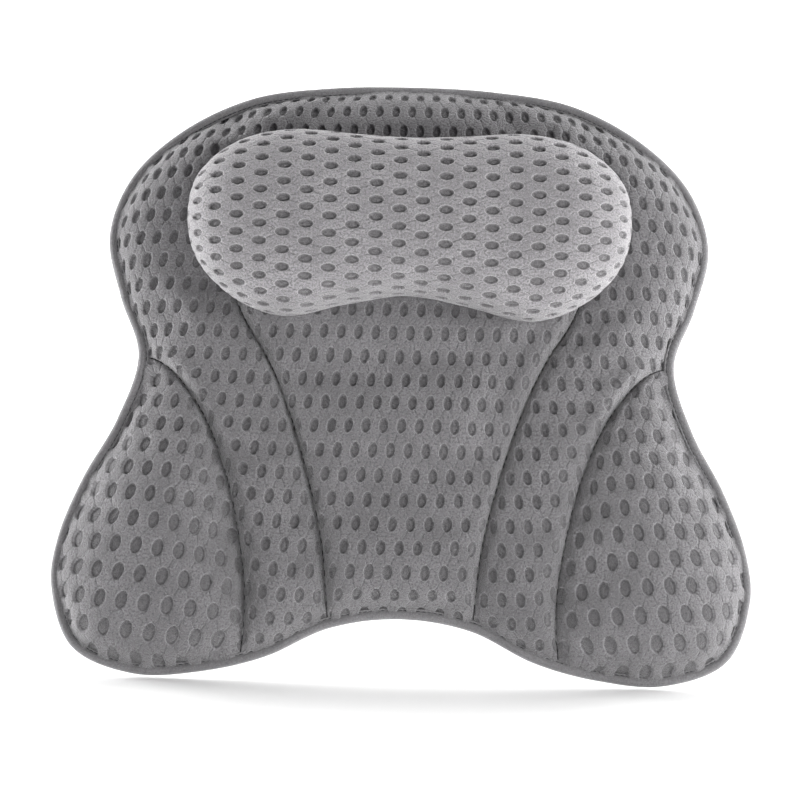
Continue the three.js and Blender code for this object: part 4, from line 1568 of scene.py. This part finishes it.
@dataclass
class HeadCushion:
    """The raised neck cushion: its cover, its sewn base and its filling.

    Attributes:
        groups: the shared node groups.
        width: over its two ends.
        height: over its lobes, up the panel.
        thickness: off the panel.
        centre: its middle, up the panel.
        back: height of its base off the wall.
        base_cloth: thickness of the base.
        spine_share: length of its level ridge, of its width.
        base_share: its sewn footprint, of its outline.
        base_gap_share: from the base's rim to the foot of the cover, of its outline.
        base_cell: side of the base's faces.
        equator_share: height of its widest line, of its thickness.
        fullness: how square it is in section. 2 is a quarter of an ellipse.
        upper_shares: right half of its outline above its end, as shares of half its width and of its height.
        lower_shares: the same below its end.
        lattice: its cloth's dimples.
        colour: of its cloth.
        rays: points round it.
        rings: points from its ridge to its widest line.
        steps: of its outline, from point to point.
    """

    groups: Groups
    width: float = 0.266
    height: float = 0.113
    thickness: float = 0.055
    centre: float = 0.09
    back: float = 0.0378
    base_cloth: float = 0.0015
    spine_share: float = 0.62
    base_share: float = 0.74
    base_gap_share: float = 0.012
    base_cell: float = 0.006
    equator_share: float = 0.4
    fullness: float = 2.5
    upper_shares: tuple = ((0.965, 0.235), (0.79, 0.425), (0.54, 0.5), (0.26, 0.482), (0, 0.468))
    lower_shares: tuple = ((0.95, -0.215), (0.78, -0.41), (0.56, -0.5), (0.28, -0.43), (0, -0.375))
    lattice: Lattice = Lattice(pitch=0.0104, rows=0.01378, half_width=0.0025, half_length=0.0043,
                               depth=0.0021, upright=False, through=(-0.0063, 0.0))
    colour: Colour = (0.33, 0.32, 0.332, 1.0)
    rays: int = 120
    rings: int = 40
    steps: int = 40

    def outline(self) -> Points:
        """Its outline, anticlockwise from its right end."""
        half = np.array([self.width / 2, self.height])
        end = np.array([[self.width / 2, 0.0]])
        over, under = (both_halves(np.vstack([end, np.array(shares) * half]))[:-1]
                       for shares in (self.upper_shares, self.lower_shares))
        points = np.vstack([over, mirrored(under)])
        stations = np.arange(len(points) * self.steps + 1) / self.steps
        loop = curve_at(points, stations, closed=True)
        turn = len(over) * self.steps
        half_rays = self.rays // 2 + 1
        loop = np.vstack([along(loop[:turn + 1], half_rays)[:-1], along(loop[turn:], half_rays)[:-1]])
        return loop + np.array([0.0, self.centre])

    def spine(self) -> Points:
        """The points of its ridge that its rays start from."""
        angle = 2 * np.pi * np.arange(self.rays) / self.rays
        x = np.cos(angle) * self.spine_share * self.width / 2
        return np.stack([x, np.full(self.rays, self.centre)], axis=1)

    def form(self) -> Form:
        """Its form, from its ridge out to its widest line and back in to its foot."""
        spine = self.spine()
        equator = self.equator_share * self.thickness
        turn = np.linspace(0, np.pi / 2, self.rings)
        reach = np.sin(turn) ** (2 / self.fullness)
        height = equator + (self.thickness - equator) * np.cos(turn) ** (2 / self.fullness)
        under = np.linspace(0, np.pi / 2, self.rings // 2)[1:]
        reach = np.concatenate([reach, self.base_share + (1 - self.base_share) * np.cos(under)])
        height = np.concatenate([height, equator * (1 - np.sin(under))])
        ray = self.outline() - spine
        size = np.linalg.norm(ray, axis=1)
        plan = spine[None] + reach[:, None, None] * ray[None]
        level = size[None] * np.abs(np.diff(reach))[:, None]
        arc = np.vstack([np.zeros(self.rays), np.cumsum(np.hypot(level, np.diff(height)[:, None]), axis=0)])
        flat = spine[None] + arc[:, :, None] * (ray / size[:, None])[None]
        solid = np.concatenate([plan, np.broadcast_to(height[:, None, None], (*plan.shape[:2], 1))], axis=2)
        solid[:, :, 2] += self.back
        return Form.from_rings(flat, solid)

    def base(self) -> bpy.types.Object:
        """The sewn base, inside the cover's foot."""
        share = self.base_share - self.base_gap_share
        loop = self.spine() + share * (self.outline() - self.spine())
        flat, faces, _ = cut_flat(loop, self.base_cell)
        top = np.column_stack([flat, np.full(len(flat), self.back + self.base_cloth)])
        bottom = top - np.array([0.0, 0.0, self.base_cloth])
        piece = mesh_object("head_base_cloth", *slab(top, faces, bottom))
        lay_uv(piece.data, np.vstack([flat, flat]))
        return piece

    def build(self) -> None:
        """Makes the cover, the base and the filling."""
        # The head's dimple floors are darker still: partly the net's colour, partly painted shade.
        finish = MeshFinish("head_mesh", self.colour, self.lattice, floor=0.66).material(self.groups)
        foam = FoamFinish("head_wadding", (0.86, 0.85, 0.82, 1.0), 0.0008).material(self.groups)
        net = NetFinish("base_net", (0.22, 0.218, 0.225, 1.0)).material(self.groups)
        section = Section("head_cloth", self.form(), self.lattice, self.back, swell=0.004, slack=0.01)
        cover = section.build()
        hand_over(cover, PILLOW, ["head_cushion_cover"], finish)
        filling = section.wadding("head_wadding")
        hand_over(filling, PILLOW, ["head_cushion_filling"], foam)
        base = self.base()
        hand_over(base, PILLOW, ["head_cushion_base"], net)


CUP_SHARES = {
    "center": (0.0, 0.0),
    "upper_left": (-0.48, 0.31),
    "upper_right": (0.48, 0.31),
    "middle_left": (-0.53, 0.0),
    "middle_right": (0.53, 0.0),
    "lower_left": (-0.7, -0.33),
    "lower_right": (0.7, -0.33),
}


def ring_line(place: Points, radius: float, count: int = 40) -> Points:
    """A circle's points, anticlockwise."""
    angle = 2 * np.pi * np.arange(count) / count
    return place + radius * np.stack([np.cos(angle), np.sin(angle)], axis=1)


@dataclass
class Back:
    """The spacer behind the padding, and the net that covers it.

    Attributes:
        groups: the shared node groups.
        plan: the panel's plan.
        wall_gap: from the wall to the net.
        rear_cloth: thickness of the net.
        spacer: thickness of the spacer.
        spacer_inset: from the outline to the spacer.
        barrel: radius of the holes for the eyelets.
        washer: radius of the holes for the washers.
        sag: how far the net sags between the eyelets.
        ripple: how much that varies, as a share.
        edge_taut: from the net's edge to where it starts to sag, and to where it does so fully.
        eyelet_taut: the same from the middle of an eyelet.
        cell: side of the layers' faces.
        net_points: points round the net.
        spacer_points: points round the spacer.
        colour: of the net.
    """

    groups: Groups
    plan: Plan
    wall_gap: float = 0.0135
    rear_cloth: float = 0.0018
    spacer: float = 0.0058
    spacer_inset: float = 0.016
    barrel: float = 0.0075
    washer: float = 0.0124
    sag: float = 0.0012
    ripple: float = 0.25
    edge_taut: tuple[float, float] = (0.01, 0.04)
    eyelet_taut: tuple[float, float] = (0.0145, 0.032)
    cell: float = 0.005
    net_points: int = 320
    spacer_points: int = 240
    colour: Colour = (0.16, 0.157, 0.163, 1.0)

    def layer(self, name: str, loop: Points, hole: float, back: float, thickness: float,
              sag: float) -> bpy.types.Object:
        """A layer with a hole at each eyelet.

        Args:
            name: of the piece.
            loop: its outline.
            hole: radius of its holes.
            back: height of its back off the wall.
            thickness: of the layer.
            sag: how far it sags to the wall between the eyelets.

        Returns:
            The layer.
        """
        centres = self.plan.on_panel(tuple(CUP_SHARES.values()))
        holes = tuple(ring_line(centre, hole) for centre in centres)
        flat, faces, _ = cut_flat(loop, self.cell, holes)
        free = smoothstep(distance_to(looped(loop), flat), *self.edge_taut)
        for centre in centres:
            free = free * smoothstep(np.linalg.norm(flat - centre, axis=1), *self.eyelet_taut)
        ripple = 1 + self.ripple * np.sin(flat[:, 0] * 90 + 2 * np.sin(flat[:, 1] * 50))
        bottom = np.column_stack([flat, back - sag * free * ripple])
        top = bottom + np.array([0.0, 0.0, thickness])
        piece = mesh_object(name, *slab(top, faces, bottom))
        lay_uv(piece.data, np.vstack([flat, flat]))
        return piece

    def build(self) -> None:
        """Makes the net and the spacer."""
        net = NetFinish("rear_net", self.colour).material(self.groups)
        knit = NetFinish("spacer_knit", (0.5, 0.5, 0.51, 1.0), 0.004).material(self.groups)
        cloth = along(looped(self.plan.cloth), self.net_points)[:-1][::-1]
        rear = self.layer("rear_cloth", cloth, self.barrel, self.wall_gap, self.rear_cloth, self.sag)
        subdivide(rear, 1, subdivision_type="SIMPLE")
        hand_over(rear, PILLOW, ["rear_cover"], net)
        size = (self.plan.width, self.plan.height)
        inner = sidestep(self.plan.outline, -self.spacer_inset, closed=True)
        inner = along(looped(inner), self.spacer_points)[:-1][::-1]
        back = self.wall_gap + self.rear_cloth + 2 * CLEARANCE
        spacer = self.layer("spacer_layer_knit", inner, self.washer, back, self.spacer, 0.0)
        hand_over(spacer, PILLOW, ["spacer_layer"], knit)
        size = tuple(length - 2 * self.spacer_inset for length in size)


@dataclass
class EdgeTape:
    """The folded tape round the outline, and its stitches.

    Attributes:
        groups: the shared node groups.
        plan: the panel's plan.
        width: of each of its legs.
        back: height of its back off the wall.
        thickness: from its back to its front.
        section_shares: its section, as shares of the width, inwards, and of the thickness, from its front
            edge over the fold to its back edge and back inside.
        stations: places along the outline.
        stitch_pitch: from stitch to stitch.
        stitch_length: of a stitch.
        stitch_width: of its thread.
        stitch_share: where it lies, as shares of the width and of the thickness.
        pull: how far the thread draws the front down between two stitches.
        drift: how far the front wavers.
        width_drift: how much the width wavers, as a share.
        colour: of the tape.
    """

    groups: Groups
    plan: Plan
    width: float = 0.0062
    back: float = 0.012
    thickness: float = 0.0078
    section_shares: tuple = (
        (1.0, 0.87), (1.03, 0.96), (0.98, 1.06), (0.91, 1.06), (0.85, 0.94), (0.8, 0.89), (0.74, 0.94),
        (0.6, 1.05), (0.4, 1.1), (0.18, 1.04), (0.06, 0.9), (0.0, 0.7), (0.0, 0.3), (0.07, 0.13),
        (0.22, 0.02), (0.45, 0.0), (0.78, 0.0), (0.98, 0.02), (1.01, 0.08), (0.96, 0.14),
        (0.7, 0.153), (0.4, 0.155), (0.22, 0.21), (0.195, 0.33), (0.195, 0.66), (0.22, 0.79), (0.4, 0.842),
        (0.75, 0.85),
    )
    stations: int = 1400
    stitch_pitch: float = 0.0034
    stitch_length: float = 0.0025
    stitch_width: float = 0.0006
    stitch_share: tuple = (0.81, 0.955)
    pull: float = 0.00012
    drift: float = 0.00008
    width_drift: float = 0.006
    colour: Colour = (0.21, 0.206, 0.213, 1.0)

    def length(self) -> float:
        """Length of the tape, which is the outline's."""
        return float(lengths(looped(self.plan.outline))[-1])

    def line(self, count: int) -> tuple[Points, Points, Points]:
        """Places along the outline.

        Args:
            count: how many.

        Returns:
            The places, the direction inwards and the direction onwards at each.
        """
        outline = along(looped(self.plan.outline), count + 1)[:-1]
        onwards = np.roll(outline, -1, axis=0) - np.roll(outline, 1, axis=0)
        onwards /= np.linalg.norm(onwards, axis=1, keepdims=True)
        inwards = np.stack([onwards[:, 1], -onwards[:, 0]], axis=1)
        return outline, inwards, onwards

    def tape(self) -> bpy.types.Object:
        """The tape, drawn down a little between the stitches."""
        shares = np.array(self.section_shares)
        spans = len(shares)
        section = curve_at(shares, np.arange(spans * 3 // 2) * 2 / 3, closed=True)
        outline, inwards, _ = self.line(self.stations)
        reach = np.linspace(0, 2 * np.pi, self.stations, endpoint=False)
        pull = 0.5 - 0.5 * np.cos(reach * round(self.length() / self.stitch_pitch))
        drift = np.sin(reach * 23 + 2 * np.sin(reach * 7)) + np.sin(reach * 41)
        front = smoothstep(section[:, 1], 0.8, 1.0)
        across = section[None, :, 0] * self.width * (1 + self.width_drift * drift[:, None])
        up = section[None, :, 1] * self.thickness
        up = up + front[None] * (self.drift * drift[:, None] - self.pull * pull[:, None])
        plan = outline[:, None] + across[:, :, None] * inwards[:, None]
        points = np.concatenate([plan, (self.back + up)[:, :, None]], axis=2)
        rows, columns = points.shape[:2]
        at = np.arange(rows * columns).reshape(rows, columns)
        after, up_one = np.roll(at, -1, axis=0), np.roll(at, -1, axis=1)
        faces = np.stack([at, up_one, np.roll(after, -1, axis=1), after], -1).reshape(-1, 4)
        return mesh_object("edge_tape", points.reshape(-1, 3), faces)

    def stitch(self) -> tuple[Points, list]:
        """One stitch, along x and about its own middle."""
        bpy.ops.object.select_all(action="DESELECT")
        bpy.ops.mesh.primitive_uv_sphere_add(segments=8, ring_count=6, radius=1.0,
                                             rotation=(0, math.pi / 2, 0))
        bpy.ops.object.transform_apply(rotation=True)
        bpy.ops.object.mode_set(mode="EDIT")
        half = (self.stitch_length / 2, self.stitch_width / 2, self.stitch_width / 2)
        bpy.ops.transform.resize(value=half, center_override=(0, 0, 0))
        bpy.ops.object.mode_set(mode="OBJECT")
        made = bpy.context.object
        points, faces = coordinates(made.data), faces_of(made.data)
        bpy.data.objects.remove(made)
        return points, faces

    def stitches(self) -> bpy.types.Object:
        """The row of stitches in the tape's groove."""
        points, faces = self.stitch()
        x, y, z = points.T
        count = round(self.length() / self.stitch_pitch)
        outline, inwards, onwards = self.line(count)
        middle = outline + self.stitch_share[0] * self.width * inwards
        plan = middle[:, None] + x[None, :, None] * onwards[:, None]
        plan = plan - y[None, :, None] * inwards[:, None]
        up = np.broadcast_to(self.back + self.stitch_share[1] * self.thickness + z, plan.shape[:2])
        places = np.concatenate([plan, up[:, :, None]], axis=2).reshape(-1, 3)
        firsts = range(0, count * len(points), len(points))
        copies = [[first + i for i in face] for first in firsts for face in faces]
        return mesh_object("edge_stitches", places, copies)

    def build(self) -> None:
        """Makes the tape and its stitches."""
        tape = self.tape()
        finish = TapeFinish("edge_tape", self.colour).material(self.groups)
        hand_over(tape, PILLOW, ["edge_binding"], finish)
        thread = TapeFinish("edge_thread", (0.05, 0.05, 0.053, 1.0), 0.0005, 0.0001).material(self.groups)
        stitches = self.stitches()
        hand_over(stitches, PILLOW, ["edge_binding"], thread)


@dataclass
class Mounting:
    """The suction cups, their eyelets in the net, and the washers behind it.

    Attributes:
        groups: the shared node groups.
        plan: the panel's plan.
        cup_radius: of a cup's rim.
        rim: width of the flat ring that touches the wall.
        lip: thickness at the rim.
        hollow: depth of the hollow.
        dome: height of the dome.
        shoulder: radius of the dome's top.
        neck: radius of the stud's neck.
        stud: radius of its mushroom head.
        stud_height: of that head.
        tab_width: of the pull tab.
        tab_reach: beyond the rim.
        tab_lift: off the wall.
        eyelet_plate: thickness of an eyelet's flange, and of a washer.
        eyelet_radius: of the flange.
        barrel_radius: of its barrel.
        barrel_wall: thickness of the barrel.
        washer_radius: of a washer.
        eyelet_back: height of the flange's back off the wall.
        washer_back: height of a washer's back off the wall.
        sides: of a turned body.
    """

    groups: Groups
    plan: Plan
    cup_radius: float = 0.026
    rim: float = 0.003
    lip: float = 0.0012
    hollow: float = 0.0032
    dome: float = 0.008
    shoulder: float = 0.009
    neck: float = 0.005
    stud: float = 0.0076
    stud_height: float = 0.0036
    tab_width: float = 0.012
    tab_reach: float = 0.008
    tab_lift: float = 0.0004
    eyelet_plate: float = 0.0014
    eyelet_radius: float = 0.013
    barrel_radius: float = 0.0072
    barrel_wall: float = 0.0018
    washer_radius: float = 0.012
    eyelet_back: float = 0.0118
    washer_back: float = 0.0158
    sides: int = 64

    def turned(self, name: str, profile: list, pierced: bool) -> bpy.types.Object:
        """A body of revolution about z, drawn up ring by ring.

        Args:
            name: of the piece.
            profile: radius and height of each ring.
            pierced: whether its last ring joins its first one. Otherwise both are closed by a cap.

        Returns:
            The body.
        """
        bpy.ops.object.select_all(action="DESELECT")
        radius, height = profile[0]
        bpy.ops.mesh.primitive_circle_add(vertices=self.sides, radius=radius, location=(0, 0, height))
        piece = bpy.context.object
        piece.name = name
        bpy.ops.object.transform_apply(location=True)
        bpy.ops.object.mode_set(mode="EDIT")
        bpy.ops.mesh.select_mode(type="EDGE")
        for (before, below), (after, above) in zip(profile[:-1], profile[1:]):
            bpy.ops.mesh.extrude_edges_move(TRANSFORM_OT_translate={"value": (0, 0, above - below)})
            share = after / before
            bpy.ops.transform.resize(value=(share, share, 1), center_override=(0, 0, above))
        bpy.ops.mesh.select_all(action="DESELECT")
        bpy.ops.mesh.select_non_manifold()
        if pierced:
            bpy.ops.mesh.bridge_edge_loops()
        else:
            bpy.ops.mesh.fill_holes(sides=0)
        bpy.ops.mesh.select_all(action="SELECT")
        bpy.ops.mesh.normals_make_consistent(inside=False)
        bpy.ops.object.mode_set(mode="OBJECT")
        return piece

    def cup(self) -> bpy.types.Object:
        """A cup with its stud, its dome ringed by a low step, and a pull tab that points down the panel."""
        foot = self.cup_radius - self.rim
        stud_back = self.washer_back + self.eyelet_plate + CLEARANCE
        hollow = [(share * foot, self.hollow * math.sqrt(1 - share**2))
                  for share in np.linspace(0.04, 0.97, 12)]
        turn = np.linspace(0.0, 1.0, 14)[1:]
        dome = [(self.cup_radius + (self.shoulder - self.cup_radius) * share,
                 self.lip + (self.dome - self.lip) * math.sin(share * math.pi / 2)) for share in turn]
        step = self.lip / 4
        rim = [(foot, 0.0), (self.cup_radius - step, 0.0), (self.cup_radius, step),
               (self.cup_radius, self.lip - step), (self.cup_radius - step, self.lip)]
        fillet = [(self.neck + 6 * step, self.dome), (self.neck + 2 * step, self.dome + step),
                  (self.neck, self.dome + 4 * step)]
        half = self.stud_height / 2
        head = [(self.neck, stud_back), (self.stud - step, stud_back), (self.stud, stud_back + step)]
        head += [(self.stud * math.cos(a) ** 0.6, stud_back + half + half * math.sin(a))
                 for a in np.linspace(0.0, 1.45, 8)]
        piece = self.turned("cup", hollow + rim + dome + fillet + head, pierced=False)
        tab = self.tab(foot)
        apply_modifier(piece, "BOOLEAN", operation="UNION", object=tab, solver="EXACT")
        bpy.data.objects.remove(tab)
        return piece

    def tab(self, foot: float) -> bpy.types.Object:
        """The pull tab, with a sunk grip near its round end."""
        half = self.tab_width / 2
        end = half - self.cup_radius - self.tab_reach
        bpy.ops.object.select_all(action="DESELECT")
        place = (0, end, self.tab_lift + self.lip / 2)
        bpy.ops.mesh.primitive_cylinder_add(vertices=48, radius=half, depth=self.lip, location=place)
        tab = bpy.context.object
        bpy.ops.object.transform_apply(location=True)
        bpy.ops.object.mode_set(mode="EDIT")
        bpy.ops.mesh.select_all(action="DESELECT")
        bpy.ops.object.mode_set(mode="OBJECT")
        points = coordinates(tab.data)
        upper = points[:, 1] > end + half / 20
        points[upper, 1] += -foot - end
        tab.data.vertices.foreach_set("co", points.ravel())
        for polygon in tab.data.polygons:
            polygon.select = polygon.normal.z > 0.5
        bpy.ops.object.mode_set(mode="EDIT")
        bpy.ops.mesh.select_mode(type="FACE")
        bpy.ops.mesh.inset(thickness=self.lip, depth=0.0)
        bpy.ops.mesh.inset(thickness=self.lip / 4, depth=-self.lip / 4)
        bpy.ops.object.mode_set(mode="OBJECT")
        return tab

    def eyelet(self) -> bpy.types.Object:
        """An eyelet: a flange with a rounded rim and a low ring on its back, and a barrel."""
        back, front = self.eyelet_back, self.eyelet_back + self.eyelet_plate
        bore = self.barrel_radius - self.barrel_wall
        soft = self.eyelet_plate / 4
        top = self.washer_back + self.eyelet_plate
        profile = [
            (bore, back + soft), (bore + soft, back), (self.barrel_radius + soft, back),
            (self.barrel_radius + 2 * soft, back + soft), (self.eyelet_radius - 6 * soft, back + soft),
            (self.eyelet_radius - 5 * soft, back), (self.eyelet_radius - 1.5 * soft, back),
            (self.eyelet_radius - soft / 2, back + soft / 2), (self.eyelet_radius, back + 2 * soft),
            (self.eyelet_radius, front - soft), (self.eyelet_radius - soft, front),
            (self.barrel_radius, front), (self.barrel_radius, top - soft), (self.barrel_radius - soft, top),
            (bore, top),
        ]
        return self.turned("eyelet", profile, pierced=True)

    def washer(self) -> bpy.types.Object:
        """A washer with a chamfer round its rim and its bore."""
        bore, rim = self.barrel_radius + CLEARANCE, self.washer_radius
        back, front = self.washer_back, self.washer_back + self.eyelet_plate
        soft = self.eyelet_plate / 4
        profile = [(bore, back + soft), (bore + soft, back), (rim - soft, back), (rim, back + soft),
                   (rim, front - soft), (rim - soft, front), (bore + soft, front), (bore, front - soft)]
        return self.turned("washer", profile, pierced=True)

    def build(self) -> None:
        """Models one of each and copies it to the seven places."""
        clear = MouldedFinish("cup_vinyl", (0.93, 0.96, 0.96, 1.0), Gloss.POLISHED, 0.9)
        plastic = MouldedFinish("eyelet_plastic", (0.16, 0.158, 0.163, 1.0), Gloss.SATIN)
        clear, plastic = (finish.material(self.groups) for finish in (clear, plastic))
        sets = (
            (self.cup(), "{}_suction_cup", "suction_cup_{}", "cup_{}", "cup_vinyl", clear),
            (self.eyelet(), "{}_grommet", "eyelet_{}", PILLOW, "eyelet_plastic", plastic),
            (self.washer(), "{}_lock_ring", "washer_{}", PILLOW, "eyelet_plastic", plastic),
        )
        for model, label, node, body, slot, finish in sets:
            for place, shares in CUP_SHARES.items():
                x, y = self.plan.on_panel((shares,))[0]
                mesh = model.data.copy()
                mesh.transform(Matrix.Translation((x, y, 0)))
                piece = bpy.data.objects.new(label.format(place), mesh)
                bpy.context.scene.collection.objects.link(piece)
                hand_over(piece, body.format(place), [node.format(place)], finish)
                pick(piece)
                bpy.ops.object.shade_smooth_by_angle(angle=math.radians(35))
            bpy.data.objects.remove(model)


@dataclass
class Studio:
    """The pale floor, the soft light and the camera.

    Attributes:
        distance: from the camera to what it looks at.
        elevation: of the camera above the object, in degrees.
        roll: of the camera, in degrees.
        lens: focal length, in millimetres.
        aim: the point that it looks at.
        front_sky: strength of the world's light from in front of the panel.
        back_sky: the same from behind it.
        top_sky: share of that light that is left overhead.
        floor_size: side of the floor.
        floor_glow: what makes the floor white to the camera, near the object.
        glow_reach: from the middle to where the glow starts to grow, and to where it is full.
        lamps: name, place, size and power of each lamp.
    """

    distance: float = 2.5
    elevation: float = 10.85
    roll: float = 1.39
    lens: float = 186.8
    aim: tuple[float, float, float] = (-0.0032, -0.03, -0.0005)
    front_sky: float = 0.04
    back_sky: float = 2.8
    top_sky: float = 0.8
    floor_size: float = 12.0
    floor_glow: float = 0.12
    glow_reach: tuple[float, float] = (0.25, 1.2)
    lamps: tuple = (
        ("key_lamp", (1.1, -0.8, 0.3), 0.6, 13.0),
        ("low_lamp", (0.0, -1.2, -0.05), 0.25, 5.5),
        ("left_lamp", (-1.5, 0.25, 0.3), 0.8, 40.0),
        ("right_lamp", (1.5, 0.3, 0.3), 0.8, 30.0),
        ("top_lamp", (0.0, 0.3, 1.0), 0.5, 6.0),
    )

    def camera(self) -> None:
        """Places the camera."""
        angle = math.radians(self.elevation)
        aim = Vector(self.aim)
        place = aim + self.distance * Vector((0.0, -math.cos(angle), math.sin(angle)))
        bpy.ops.object.camera_add(location=place)
        camera = bpy.context.object
        level = (aim - place).to_track_quat("-Z", "Y")
        camera.rotation_mode = "QUATERNION"
        roll = Matrix.Rotation(math.radians(self.roll), 3, "Z").to_quaternion()
        camera.rotation_quaternion = level @ roll
        camera.data.lens = self.lens
        bpy.context.scene.camera = camera

    def lamp(self, name: str, place: tuple, size: float, power: float) -> None:
        """Adds a soft square lamp that faces the object."""
        bpy.ops.object.light_add(type="AREA", location=place)
        lamp = bpy.context.object
        lamp.name = name
        lamp.data.size = size
        lamp.data.energy = power
        lamp.rotation_euler = (Vector(self.aim) - Vector(place)).to_track_quat("-Z", "Y").to_euler()

    def seen(self, graph: Graph) -> Socket:
        """1 for the rays of the camera, of reflections and of clear plastic, which see the background."""
        rays = graph.node("ShaderNodeLightPath")
        seen = graph.math("MAXIMUM", rays.outputs["Is Camera Ray"], rays.outputs["Is Glossy Ray"])
        return graph.math("MAXIMUM", seen, rays.outputs["Is Transmission Ray"])

    def floor(self, height: float) -> None:
        """Lays the floor, which looks white to the camera and keeps the object's shadow."""
        bpy.ops.mesh.primitive_plane_add(size=self.floor_size, location=(0.0, 0.0, height))
        floor = bpy.context.object
        floor.name = "floor"
        made, graph, shader = new_finish("floor_paper")
        far = graph.soft_step(graph.vectors("LENGTH", graph.coords()), *self.glow_reach)
        glow = graph.math("MULTIPLY_ADD", far, 1.0 - self.floor_glow, self.floor_glow)
        graph.feed_all(shader, {
            "Base Color": (0.85, 0.85, 0.85, 1.0),
            "Roughness": 1.0,
            "Specular IOR Level": 0.0,
            "Emission Color": (1.0, 1.0, 1.0, 1.0),
            "Emission Strength": graph.times(self.seen(graph), glow),
        })
        floor.data.materials.append(made)

    def sky(self) -> None:
        """Lights the object from behind, a little less from above, and hardly from the front."""
        world = bpy.data.worlds.new("studio_sky")
        bpy.context.scene.world = world
        world.use_nodes = True
        graph = Graph(world.node_tree)
        backdrop = world.node_tree.nodes["Background"]
        heading = graph.coords("Generated")
        outwards = tuple(TO_ROW.to_3x3() @ Vector((0.0, 0.0, 1.0)))
        behind = graph.soft_step(graph.vectors("DOT_PRODUCT", heading, outwards), 0.0, -0.4)
        height = graph.node("ShaderNodeSeparateXYZ", {0: heading}).outputs[2]
        low = graph.math("MULTIPLY_ADD", graph.soft_step(height, 0.1, 0.8), self.top_sky - 1.0, 1.0)
        behind = graph.times(behind, low)
        light = graph.math("MULTIPLY_ADD", behind, self.back_sky - self.front_sky, self.front_sky)
        seen = self.seen(graph)
        unseen = graph.times(light, graph.math("SUBTRACT", 1.0, seen))
        strength = graph.math("ADD", unseen, seen)
        graph.feed_all(backdrop, {"Color": (1.0, 1.0, 1.0, 1.0), "Strength": strength})

    def build(self) -> None:
        """Sets the studio up."""
        self.camera()
        self.floor(CAD_BOUNDS[0][2])
        self.sky()
        for lamp in self.lamps:
            self.lamp(*lamp)
        bpy.context.scene.view_settings.view_transform = "Standard"


def main() -> None:
    """Builds the pillow's pieces in order, then its studio."""
    logging.basicConfig(level=logging.INFO, format="%(name)s: %(message)s")
    groups = Groups()
    plan = Plan()
    Panel(groups, plan).build()
    HeadCushion(groups).build()
    Back(groups, plan).build()
    EdgeTape(groups, plan).build()
    Mounting(groups, plan).build()
    Studio().build()


if __name__ == "__main__":
    main()
